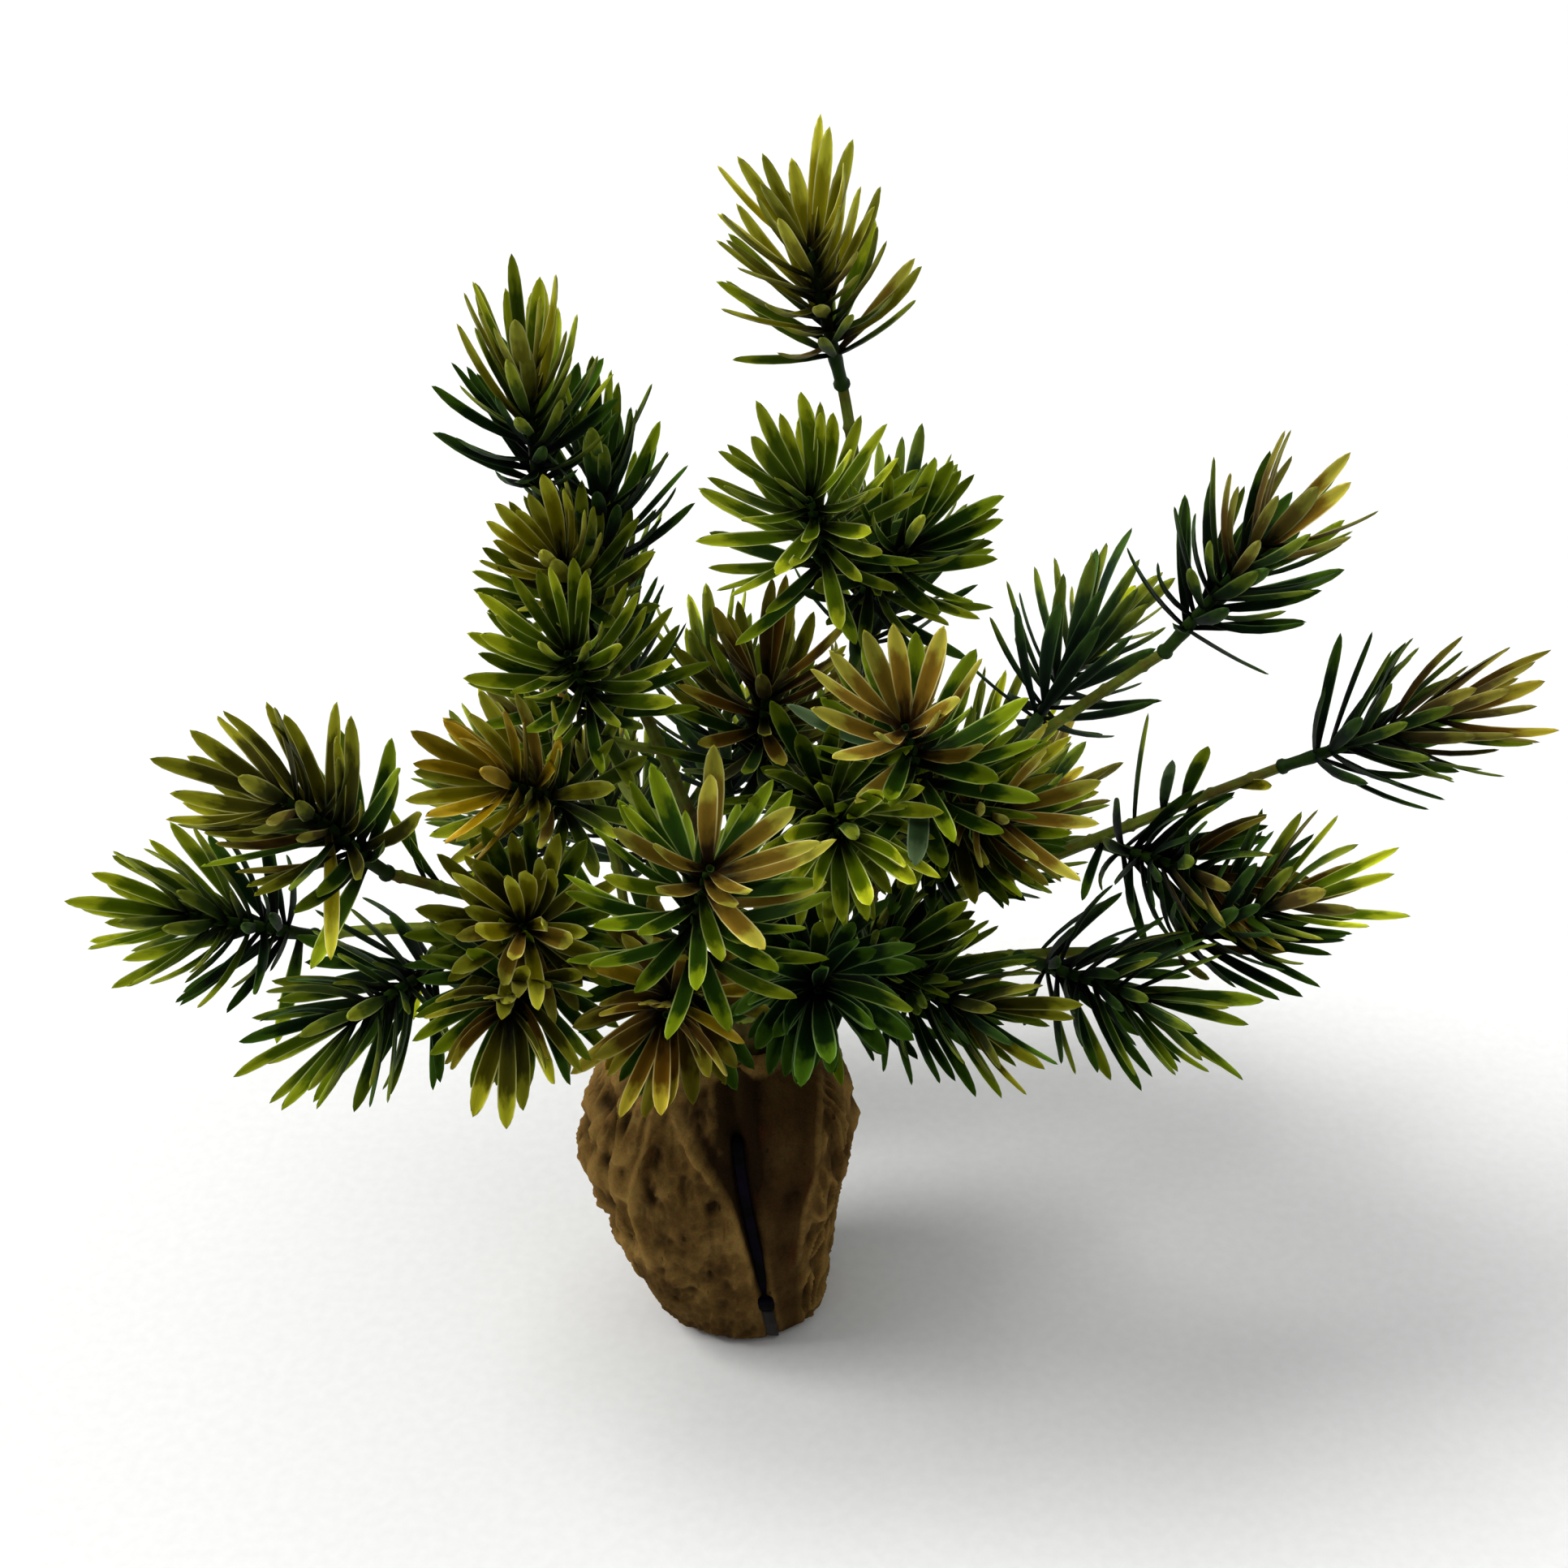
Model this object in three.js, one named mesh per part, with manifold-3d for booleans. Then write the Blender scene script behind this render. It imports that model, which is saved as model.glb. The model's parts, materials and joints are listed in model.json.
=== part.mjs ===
// Artificial podocarpus for a terrarium: moulded sprigs on twelve stems, standing in a stone-look base.
// Millimetres, +Z up. The origin lies on the base's flat underside and the plant's front faces -Y.
import * as THREE from 'three'
import Module from 'manifold-3d'
import { mergeVertices } from 'three/addons/utils/BufferGeometryUtils.js'

const wasm = await Module()
wasm.setup()

// Driving dimensions.
const CLEAR = 0.3 // gap kept between two pieces that meet
const TRUNK = { foot: [0, 0, 98], bend: [1, 0, 128], top: [6, 4, 150] }
const TRUNK_LIMB = { rootRadius: 7.5, tipRadius: 4.6, sides: 8, steps: 5 }
const STEM_LIMB = { rootRadius: 2.4, tipRadius: 1.6, sides: 6, steps: 8 }
const TWIG_LIMB = { rootRadius: 1.8, tipRadius: 1.8, sides: 3, steps: 6 }
const COLLAR = 12 // bare length of a sprig below its lowest leaves
const AXIS = 44 // length of a sprig that carries leaves
const LAST_WHORL = 0.86 // share of that length at which the last leaves stand
const LEAF = { length: 36.5, width: 8.5, thickness: 1.4, widest: 0.42, sunk: 0.7 }
const SMOOTHING = 0.05 // height of a sliver that is dropped where leaves and twig join
const LENGTH_WOBBLE = 2 // millimetres by which leaves differ
const WHORLS = 4
const LEAVES_PER_WHORL = 4
const WHORL_TURN = 23 // degrees by which each whorl is turned on from the one below
const SPREAD_FALL = 1.3 // how late along the sprig its leaves close up
const SPREAD_WOBBLE = 4 // degrees by which leaves differ
const SIDESTEPS = [0, 15, -15, 30, -30] // degrees that a leaf may turn aside for another piece
const BASE_SIDES = 36
const BASE_LEVEL = 7.5 // greatest height between two rings of the base
const BASE_SQUARENESS = 2.5 // 2 is an ellipse, more is squarer
const BASE_RELIEF = 0.035 // share of the base's radius by which its lobes rise and sink
const CREVICE = { radius: 5.5, footRadius: 3, proud: 1.2, sides: 6, steps: 9 }
const STRIP = { width: 3.4, depth: 2.4, sunk: 3.2, top: 97, foot: 27.3 }
const CLIP = { width: 5.4, depth: 3.4, sunk: 1.2, top: 27, foot: 20.6 }
const TAIL = { width: 4.1, depth: 1, sunk: 0.1, top: 20.3, foot: 2 }
const SLOT_MARGIN = 0.5 // room around a bar in its slot
const BAR_STEP = 12 // greatest length of a straight stretch of a bar in the crevice

// Outline of the base from its underside up: height, then its left, right, front and back limits.
const BASE_OUTLINE = [
  [0, -26, 22, -24.5, 24],
  [5, -33, 26, -28.5, 28],
  [20, -40.8, 27, -32.6, 31],
  [40, -47, 27.4, -36.6, 34],
  [58, -52.4, 30.6, -38.6, 36],
  [72, -56.2, 34.2, -38.6, 37],
  [86, -53.4, 33.2, -37.6, 36],
  [98, -49, 30, -35, 34],
  [106, -42, 24, -29, 29],
  [110, -34, 16, -22, 22],
]

// Main forms of the stone-look skin: the middle of each, its half width and half height, and how far it
// swells out of the plain skin or sinks into it.
const BASE_FORMS = [
  [-18, -36, 60, 12, 24, 2.2],
  [-24, -33, 96, 8, 10, -3],
  [-38, -26, 80, 6, 20, 1.8],
  [9, -36, 74, 8, 26, -2.2],
  [22, -28, 78, 6, 26, 1.8],
  [-30, -28, 32, 9, 12, 1.4],
  [14, -30, 28, 9, 12, 1.2],
  [-52, -8, 84, 8, 18, 1.8],
  [-54, 12, 62, 9, 22, -1.8],
  [-46, 4, 34, 9, 16, 1.6],
  [-50, -16, 56, 7, 16, -1.5],
  [33, -10, 60, 7, 20, -1.6],
  [33, 8, 80, 8, 20, 1.8],
  [29, 2, 36, 8, 16, 1.5],
  [-34, 30, 80, 8, 20, 1.8],
  [-16, 36, 66, 9, 24, -2.2],
  [2, 36, 70, 9, 24, 2.2],
  [20, 30, 56, 8, 22, -1.8],
  [-24, 32, 34, 10, 14, 1.6],
  [8, 32, 28, 9, 12, -1.2],
]

// The crevice down the front of the base: heights and sideways places, from the top.
const CREVICE_LINE = [
  [110, -5],
  [92, -3.5],
  [72, -1.5],
  [48, 2],
  [24, 5],
  [8, 7],
  [0, 7.5],
]

// Stems: the height at which each leaves the trunk, and the point that it bends towards.
const STEMS = {
  top: [150, [46, 8, 236]],
  upper_right: [139, [58, 0, 206]],
  upper_left: [132, [-32, 10, 238]],
  front_right: [124, [40, -38, 165]],
  left: [127, [-52, -34, 182]],
  right: [131, [72, -4, 176]],
  back: [129, [2, 56, 142]],
  front: [120, [-8, -42, 150]],
  lower_left: [115, [-52, -18, 178]],
  lower_right: [119, [60, -20, 164]],
  back_left: [117, [-40, 40, 130]],
  back_right: [116, [44, 38, 130]],
}

// Sprigs: how far along its stem each one branches off, the point where its leaves start, its heading
// (degrees from the front, + to the right), its pitch, the spread of its lowest and of its last leaves
// (degrees from the sprig's axis) and its tint.
// The last sprig of each stem carries on from the stem's tip.
const SPRIGS = {
  top: {
    top_low: [0.22, [4, 10, 208], 8, 67, 66, 42, 'bronze'],
    top_middle: [0.42, [21, -40, 231], 8, 14, 60, 42, 'lime'],
    top_back: [0.56, [36, 34, 238], 160, 34, 50, 26, 'green'],
    top_side: [0.64, [33, 15, 263], 28, 46, 60, 42, 'lime'],
    top_front: [0.8, [23, 0, 280], -14, 53, 78, 42, 'lime'],
    top_tip: [1, [25, 20, 336], -27, 64, 48, 26, 'bronze'],
  },
  upper_left: {
    upper_left_back: [0.3, [-44, 45, 205], -170, 60, 40, 26, 'dark'],
    upper_left_front: [0.44, [-45, 0, 232], -12, 55, 70, 42, 'lime'],
    upper_left_low: [0.54, [-48, 25, 250], -10, 52, 50, 26, 'lime'],
    upper_left_side: [0.62, [-43, 35, 263], 4, 71, 44, 26, 'green'],
    upper_left_tip: [1, [-59, 15, 300], 0, 69, 46, 26, 'lime'],
  },
  left: {
    left_side: [0.36, [-53, -12, 208], -26, 38, 62, 42, 'bronze'],
    left_front: [0.52, [-62, -45, 185], 4, 40, 60, 42, 'bronze'],
    left_tip: [1, [-103, -65, 225], -38, 51, 52, 42, 'green'],
  },
  lower_left: {
    lower_left_front: [0.45, [-62, -50, 178], -3, 17, 60, 42, 'green'],
    lower_left_side: [0.6, [-92, -40, 169], -28, 9, 62, 26, 'lime'],
    lower_left_tip: [1, [-137, -30, 175], -42, 35, 54, 26, 'lime'],
  },
  front: {
    front_low_left: [0.25, [-18, -50, 174], -5, 20, 60, 42, 'bronze'],
    front_low_right: [0.3, [19, -50, 179], 2, 24, 58, 42, 'dark'],
    front_tip: [1, [-13, -85, 210], 20, 64, 84, 42, 'bronze'],
  },
  front_right: {
    front_right_tip: [1, [49, -45, 230], -20, 61, 78, 42, 'bronze'],
  },
  upper_right: {
    upper_right_low: [0.3, [52, -14, 196], 26, 36, 54, 42, 'dark'],
    upper_right_front: [0.42, [55, -20, 207], 28, 34, 58, 42, 'bronze'],
    upper_right_side: [0.62, [88, 15, 222], 148, 20, 58, 26, 'green'],
    upper_right_tip: [1, [127, 0, 261], 52, 58, 50, 26, 'bronze'],
  },
  right: {
    right_side: [0.58, [115, 0, 184], 31, 18, 46, 26, 'dark'],
    right_tip: [1, [170, 0, 218], 63, 34, 48, 26, 'green'],
  },
  lower_right: {
    lower_right_inner: [0.15, [28, -30, 153], 37, 50, 56, 26, 'dark'],
    lower_right_front: [0.3, [41, -40, 165], 39, 17, 46, 26, 'lime'],
    lower_right_side: [0.6, [90, -30, 162], 41, 14, 50, 26, 'green'],
    lower_right_tip: [1, [129, -30, 171], 57, 41, 48, 26, 'green'],
  },
  back_left: {
    back_left_up: [0.5, [-46, 52, 150], -135, 50, 56, 26, 'bronze'],
    back_left_side: [0.6, [-36, 82, 124], -170, 10, 60, 26, 'lime'],
    back_left_tip: [1, [-70, 80, 126], -142, 18, 58, 26, 'green'],
  },
  back: {
    back_up: [0.5, [26, 62, 156], 150, 48, 62, 26, 'bronze'],
    back_side: [0.62, [-8, 70, 160], -165, 58, 62, 42, 'green'],
    back_tip: [1, [8, 104, 132], 176, 20, 60, 42, 'lime'],
  },
  back_right: {
    back_right_up: [0.5, [58, 44, 150], 130, 48, 54, 26, 'lime'],
    back_right_side: [0.6, [46, 84, 122], 166, 10, 60, 26, 'dark'],
    back_right_tip: [1, [78, 74, 126], 142, 18, 58, 26, 'green'],
  },
}

// Colour, roughness and metalness of each finish.
const FINISHES = {
  stone: [0x5a4424, 0.85, 0],
  stem: [0x55511f, 0.55, 0],
  lime: [0x8f9a32, 0.5, 0],
  green: [0x4d6420, 0.5, 0],
  dark: [0x24401f, 0.5, 0],
  bronze: [0x86652a, 0.5, 0],
  strip: [0x0d0b12, 0.2, 0],
  tail: [0x55585c, 0.25, 0],
}

const vector = ([x, y, z]) => new THREE.Vector3(x, y, z)
const mix = (a, b, share) => a + (b - a) * share

// A repeatable value between -1 and 1 for two whole numbers.
const wobble = (i, j) => Math.sin(12.9 * i + 78.2 * j)

// The unit vector of a heading from the front and a pitch above level, in degrees.
function directionOf(heading, pitch) {
  const turn = THREE.MathUtils.degToRad(heading)
  const rise = THREE.MathUtils.degToRad(pitch)
  const level = Math.cos(rise)
  return new THREE.Vector3(Math.sin(turn) * level, -Math.cos(turn) * level, Math.sin(rise))
}

// A closed skin through rings of points that turn anticlockwise, seen from beyond the last ring.
function loft(rings) {
  const sides = rings[0].length
  const faces = []
  for (let r = 0; r + 1 < rings.length; r++) {
    for (let i = 0; i < sides; i++) {
      const a = r * sides + i
      const b = r * sides + ((i + 1) % sides)
      faces.push(a, b, b + sides, a, b + sides, a + sides)
    }
  }
  const last = (rings.length - 1) * sides
  for (let i = 1; i + 1 < sides; i++) {
    faces.push(0, i + 1, i)
    faces.push(last, last + i, last + i + 1)
  }
  return new THREE.BufferGeometry().setFromPoints(rings.flat()).setIndex(faces)
}

// A closed geometry as a solid that can be joined and cut.
function solidOf(geometry) {
  const bare = geometry.clone()
  bare.deleteAttribute('normal')
  bare.deleteAttribute('uv')
  const merged = mergeVertices(bare, 1e-5)
  const vertProperties = new Float32Array(merged.attributes.position.array)
  const triVerts = new Uint32Array(merged.index.array)
  return new wasm.Manifold(new wasm.Mesh({ numProp: 3, vertProperties, triVerts }))
}

// A solid as a named mesh that stands at its own foot point.
function meshOf(name, solid, foot, finish) {
  const { vertProperties, triVerts } = solid.getMesh()
  const geometry = new THREE.BufferGeometry()
  geometry.setAttribute('position', new THREE.BufferAttribute(new Float32Array(vertProperties), 3))
  geometry.setIndex(new THREE.BufferAttribute(new Uint32Array(triVerts), 1))
  geometry.translate(-foot.x, -foot.y, -foot.z)
  geometry.computeVertexNormals()
  const [color, roughness, metalness] = FINISHES[finish]
  const mesh = new THREE.Mesh(geometry, new THREE.MeshStandardMaterial({ color, roughness, metalness }))
  mesh.name = name
  mesh.position.copy(foot)
  return mesh
}

// A tapering limb along a curve, grown on all sides by a margin where one is given.
function limb(curve, { rootRadius, tipRadius, sides, steps }, margin = 0) {
  const frames = curve.computeFrenetFrames(steps, false)
  const rings = []
  for (let s = 0; s <= steps; s++) {
    const centre = curve.getPointAt(s / steps)
    if (s === 0) centre.addScaledVector(frames.tangents[s], -margin)
    if (s === steps) centre.addScaledVector(frames.tangents[s], margin)
    const radius = mix(rootRadius, tipRadius, s / steps) + margin / Math.cos(Math.PI / sides)
    const ring = []
    for (let i = 0; i < sides; i++) {
      const turn = (2 * Math.PI * i) / sides
      const point = centre.clone().addScaledVector(frames.normals[s], radius * Math.cos(turn))
      ring.push(point.addScaledVector(frames.binormals[s], radius * Math.sin(turn)))
    }
    rings.push(ring)
  }
  return solidOf(loft(rings))
}

// The largest piece of a solid, without loose scraps.
function whole(solid) {
  return solid.decompose().sort((a, b) => b.volume() - a.volume())[0]
}

// What is left of a solid once its carrier is cut clear of it.
function seated(solid, carrier) {
  return whole(solid.subtract(carrier))
}

// The base's height and limits at any height, between the rows of its outline.
function baseRow(z) {
  const above = Math.max(1, BASE_OUTLINE.findIndex((row) => row[0] >= z))
  const low = BASE_OUTLINE[above - 1]
  const high = BASE_OUTLINE[above]
  const share = (z - low[0]) / (high[0] - low[0])
  return low.map((value, i) => mix(value, high[i], share))
}

// How far the main forms lift or sink the skin of the base at a point on it.
function baseForms(point) {
  let rise = 0
  for (const [x, y, z, halfWidth, halfHeight, height] of BASE_FORMS) {
    const sideways = Math.hypot(point.x - x, point.y - y) / halfWidth
    const upright = (point.z - z) / halfHeight
    rise += height * Math.exp(-(sideways ** 2) - upright ** 2)
  }
  return rise
}

// A point on the skin of the base, at a height and a turn from the right-hand side.
function basePoint(z, turn) {
  const [, left, right, front, back] = baseRow(z)
  const lobes = 0.6 * Math.sin(3 * turn + z / 24) + 0.4 * Math.sin(7 * turn - z / 13)
  const relief = 1 + BASE_RELIEF * lobes
  const power = 2 / BASE_SQUARENESS
  const across = Math.sign(Math.cos(turn)) * Math.abs(Math.cos(turn)) ** power * relief
  const along = Math.sign(Math.sin(turn)) * Math.abs(Math.sin(turn)) ** power * relief
  const middle = (left + right) / 2
  const x = middle + ((right - left) / 2) * across
  const y = along < 0 ? -front * along : back * along
  const point = new THREE.Vector3(x, y, z)
  const outward = new THREE.Vector3(x - middle, y, 0).normalize()
  return point.addScaledVector(outward, baseForms(point))
}

// The front of the base at a sideways place and a height, found by halving.
function baseFront(x, z) {
  let near = Math.PI
  let far = 2 * Math.PI
  for (let i = 0; i < 30; i++) {
    const middle = (near + far) / 2
    if (basePoint(z, middle).x < x) near = middle
    else far = middle
  }
  return basePoint(z, near).y
}

// Where the crevice runs on the skin of the base at a height.
function creviceAt(z) {
  const below = Math.max(1, CREVICE_LINE.findIndex((row) => row[0] <= z))
  const high = CREVICE_LINE[below - 1]
  const low = CREVICE_LINE[below]
  const x = mix(high[1], low[1], (high[0] - z) / (high[0] - low[0]))
  return new THREE.Vector3(x, baseFront(x, z), z)
}

// A flat bar down the crevice, its middle sunk behind the skin of the base.
function creviceBar({ width, depth, sunk, top, foot }, margin = 0) {
  const steps = Math.ceil((top - foot) / BAR_STEP)
  const x = width / 2 + margin
  const y = depth / 2 + margin
  const rings = []
  for (let s = 0; s <= steps; s++) {
    const middle = creviceAt(mix(foot, top, s / steps)).add(new THREE.Vector3(0, sunk, 0))
    if (s === 0) middle.z -= margin
    if (s === steps) middle.z += margin
    const corners = [[x, -y], [x, y], [-x, y], [-x, -y]]
    rings.push(corners.map(([dx, dy]) => middle.clone().add(new THREE.Vector3(dx, dy, 0))))
  }
  return solidOf(loft(rings))
}

// The groove of the crevice, which narrows towards its foot.
function creviceGroove() {
  const points = CREVICE_LINE.map(([z]) => creviceAt(z).add(new THREE.Vector3(0, -CREVICE.proud, 0)))
  points[0].z += CREVICE.radius
  points[points.length - 1].z -= CREVICE.radius
  const taper = { ...CREVICE, rootRadius: CREVICE.radius, tipRadius: CREVICE.footRadius }
  return limb(new THREE.CatmullRomCurve3(points), taper)
}

// The heights of the base's rings: those of its outline and enough between them for its main forms.
function baseLevels() {
  const levels = [0]
  for (const [z] of BASE_OUTLINE.slice(1)) {
    const below = levels[levels.length - 1]
    const parts = Math.ceil((z - below) / BASE_LEVEL)
    for (let i = 1; i <= parts; i++) levels.push(mix(below, z, i / parts))
  }
  return levels
}

// The base: a lobed block with the crevice, slots for what runs down it, and the trunk's socket.
function baseSolid(trunkSpace) {
  const turns = Array.from({ length: BASE_SIDES }, (_, i) => (2 * Math.PI * i) / BASE_SIDES)
  const rings = baseLevels().map((z) => turns.map((turn) => basePoint(z, turn)))
  let base = seated(solidOf(loft(rings)), creviceGroove())
  for (const bar of [STRIP, CLIP, TAIL]) base = seated(base, creviceBar(bar, SLOT_MARGIN))
  return seated(base, trunkSpace)
}

const trunkPoints = [TRUNK.foot, TRUNK.bend, TRUNK.top].map(vector)
const trunkCurve = new THREE.QuadraticBezierCurve3(...trunkPoints)

// The point on the trunk's centre line at a height.
function trunkAt(z) {
  let low = 0
  let high = 1
  for (let i = 0; i < 30; i++) {
    const middle = (low + high) / 2
    if (trunkCurve.getPoint(middle).z < z) low = middle
    else high = middle
  }
  return trunkCurve.getPoint(low)
}

// The point where a sprig's bare collar starts, below its lowest leaves.
function collarFoot([, at, heading, pitch]) {
  return vector(at).addScaledVector(directionOf(heading, pitch), -COLLAR)
}

function stemCurve(name) {
  const [height, bend] = STEMS[name]
  const tip = Object.values(SPRIGS[name]).find(([share]) => share === 1)
  return new THREE.QuadraticBezierCurve3(trunkAt(height), vector(bend), collarFoot(tip))
}

// The twig of a sprig: a neck that swings off the stem, then the straight collar and leafy axis.
function twigCurve(stem, sprig) {
  const [share, at, heading, pitch] = sprig
  const direction = directionOf(heading, pitch)
  const collar = collarFoot(sprig)
  const tip = vector(at).addScaledVector(direction, AXIS)
  const straight = new THREE.LineCurve3(collar, tip)
  if (share === 1) return straight
  const root = stem.getPoint(share)
  const bend = collar.clone().addScaledVector(direction, -collar.distanceTo(root) / 2)
  const path = new THREE.CurvePath()
  path.add(new THREE.QuadraticBezierCurve3(root, bend, collar))
  path.add(straight)
  return path
}

// One leaf: a blade of eight faces with a ridge on each side, its root sunk past the twig's centre line.
function leafSolid(root, direction, broad, length) {
  const { width, thickness, widest, sunk } = LEAF
  const thick = new THREE.Vector3().crossVectors(direction, broad)
  const foot = root.clone().addScaledVector(direction, -sunk)
  const middle = root.clone().addScaledVector(direction, length * widest)
  const points = [foot, root.clone().addScaledVector(direction, length)]
  points.push(middle.clone().addScaledVector(broad, width / 2))
  points.push(middle.clone().addScaledVector(thick, thickness / 2))
  points.push(middle.clone().addScaledVector(broad, -width / 2))
  points.push(middle.clone().addScaledVector(thick, -thickness / 2))
  const faces = []
  for (let i = 0; i < 4; i++) {
    const a = 2 + i
    const b = 2 + ((i + 1) % 4)
    faces.push(0, b, a, 1, a, b)
  }
  return solidOf(new THREE.BufferGeometry().setFromPoints(points).setIndex(faces))
}

function boxesMeet(a, b, margin) {
  return a.min.every((low, i) => low - margin < b.max[i] && b.min[i] - margin < a.max[i])
}

// Whether a solid comes nearer than the clearance to any of the others.
function touches(solid, others) {
  const box = solid.boundingBox()
  const near = others.filter((other) => boxesMeet(box, other.boundingBox(), CLEAR))
  return near.some((other) => solid.minGap(other, CLEAR * 2) < CLEAR)
}

// A sprig: whorls of leaves fused to its twig. They stand wide at its foot and close up towards its
// tip, and a leaf turns aside where another piece is in its way, or is left off.
function foliageSolid(twig, [, at, heading, pitch, spread, close], order, others) {
  const direction = directionOf(heading, pitch)
  const sideways = new THREE.Vector3(0, 0, 1).cross(direction).normalize()
  let mass = twig
  for (let w = 0; w < WHORLS; w++) {
    const share = w / (WHORLS - 1)
    const root = vector(at).addScaledVector(direction, AXIS * LAST_WHORL * share)
    const opening = mix(spread, close, share ** SPREAD_FALL)
    for (let i = 0; i < LEAVES_PER_WHORL; i++) {
      const number = w * LEAVES_PER_WHORL + i
      const splay = THREE.MathUtils.degToRad(opening + SPREAD_WOBBLE * wobble(number, order))
      const length = LEAF.length + LENGTH_WOBBLE * wobble(order, number)
      for (const aside of SIDESTEPS) {
        const turn = (360 * (i + (w % 2) / 2)) / LEAVES_PER_WHORL + WHORL_TURN * w + aside
        const outward = sideways.clone().applyAxisAngle(direction, THREE.MathUtils.degToRad(turn))
        const broad = new THREE.Vector3().crossVectors(direction, outward)
        const blade = direction.clone().multiplyScalar(Math.cos(splay))
        blade.addScaledVector(outward, Math.sin(splay))
        const leaf = leafSolid(root, blade, broad, length)
        if (touches(leaf, others)) continue
        mass = mass.add(leaf)
        break
      }
    }
  }
  return whole(mass).asOriginal().simplify(SMOOTHING)
}

const plant = new THREE.Group()
const trunk = limb(trunkCurve, TRUNK_LIMB)
const trunkSpace = limb(trunkCurve, TRUNK_LIMB, CLEAR)
const base = baseSolid(trunkSpace)
const solids = { trunk, base }

plant.add(meshOf('rock_base', base, new THREE.Vector3(), 'stone'))
plant.add(meshOf('trunk', trunk, vector(TRUNK.foot), 'stem'))
for (const [name, bar] of Object.entries({ strip: STRIP, strip_clip: CLIP, strip_tail: TAIL })) {
  plant.add(meshOf(name, creviceBar(bar), creviceAt(bar.foot), name === 'strip_tail' ? 'tail' : 'strip'))
}

const curves = {}
for (const name of Object.keys(STEMS)) {
  curves[name] = stemCurve(name)
  solids[name] = seated(limb(curves[name], STEM_LIMB), trunkSpace)
}

// Twigs are seated on their stems before any leaf grows, so that each leaf knows what to avoid.
for (const [stem, sprigs] of Object.entries(SPRIGS)) {
  const stemSpace = limb(curves[stem], STEM_LIMB, CLEAR)
  for (const [name, sprig] of Object.entries(sprigs)) {
    solids[name] = seated(limb(twigCurve(curves[stem], sprig), TWIG_LIMB), stemSpace)
  }
}

let order = 0
for (const [stem, sprigs] of Object.entries(SPRIGS)) {
  const bough = new THREE.Group()
  bough.add(meshOf(`stem_${stem}`, solids[stem], curves[stem].getPoint(0), 'stem'))
  for (const [name, sprig] of Object.entries(sprigs)) {
    const others = Object.keys(solids).filter((other) => other !== name).map((other) => solids[other])
    solids[name] = foliageSolid(solids[name], sprig, order, others)
    bough.add(meshOf(`foliage_${name}`, solids[name], collarFoot(sprig), sprig[6]))
    order += 1
  }
  plant.add(bough)
}

export default plant
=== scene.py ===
import json
import math
from collections import namedtuple
from functools import partial

import bpy
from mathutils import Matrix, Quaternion, Vector, noise

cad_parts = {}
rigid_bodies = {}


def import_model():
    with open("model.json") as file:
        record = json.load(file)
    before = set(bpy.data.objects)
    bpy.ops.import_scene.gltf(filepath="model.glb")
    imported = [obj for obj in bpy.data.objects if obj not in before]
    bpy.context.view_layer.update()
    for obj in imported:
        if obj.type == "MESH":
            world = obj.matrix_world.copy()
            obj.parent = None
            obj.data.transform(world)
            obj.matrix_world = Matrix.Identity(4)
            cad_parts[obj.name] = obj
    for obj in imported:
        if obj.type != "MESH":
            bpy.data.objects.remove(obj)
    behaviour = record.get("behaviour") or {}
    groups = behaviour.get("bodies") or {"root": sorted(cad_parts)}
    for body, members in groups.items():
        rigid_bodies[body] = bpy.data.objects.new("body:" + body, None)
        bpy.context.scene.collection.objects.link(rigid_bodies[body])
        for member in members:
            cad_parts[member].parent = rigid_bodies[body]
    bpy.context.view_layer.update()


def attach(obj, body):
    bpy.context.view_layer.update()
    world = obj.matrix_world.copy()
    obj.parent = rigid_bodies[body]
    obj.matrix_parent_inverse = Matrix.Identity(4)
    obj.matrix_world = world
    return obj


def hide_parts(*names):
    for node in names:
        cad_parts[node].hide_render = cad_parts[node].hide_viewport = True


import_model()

MM = 0.001
TAU = 2 * math.pi

# The photograph's camera: the width of the picture and the lens in pixels, how steeply it looks down, and
# the point that it looks at from how far.
PICTURE = 1932
LENS_PIXELS = 2660
LOOKS_DOWN = 32
LOOKS_AT = (11, 0, 208)
STANDS_OFF = 650

# The frame's own sizes, as in the part's source.
TRUNK = ((0, 0, 98), (1, 0, 128), (6, 4, 150))
COLLAR = 12
AXIS = 44
BASE_SQUARENESS = 2.5
BASE_RELIEF = 0.035

# The finer plant: its whorls and the turn from one to the next in degrees, the share of the axis at which
# the last one sits, how unevenly the spread falls on the way there, the size of a leaf, and the radii of a
# stem, of a neck that carries a sprig and of the trunk, each at its root and at its tip.
WHORLS = 9
LEAVES_PER_WHORL = 6
WHORL_TURN = 23
LAST_WHORL = 0.86
SPREAD_FALL = 1.1
LEAF_LENGTH = 36
LEAF_WIDTH = 4.4
LEAF_THICKNESS = 0.85
STEM_RADII = (2.2, 1.5)
NECK_RADII = (1.5, 1.4)
TRUNK_RADII = (7.3, 4.6)
TRUNK_END = 2.6

# The mesh of the base: points round it, the step from one row to the next, its top, and the trunk's socket.
BASE_COLUMNS = 420
BASE_STEP = 0.72
BASE_TOP = 110.0
SOCKET_MIDDLE = (0.4, 0)
SOCKET_RADIUS = 8.4

# The studio: half the floor's width in metres, the light of the air and, for each panel of sky, the way
# towards it, how wide it spreads in degrees, and its power.
FLOOR_REACH = 40
AIR_LIGHT = 0.24
SKY_PANELS = {
    "key_sky_panel": ((-0.62, -0.05, 0.78), 28, 2.45),
    "top_sky_panel": ((0.12, -0.1, 1), 70, 1.2),
}

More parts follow.
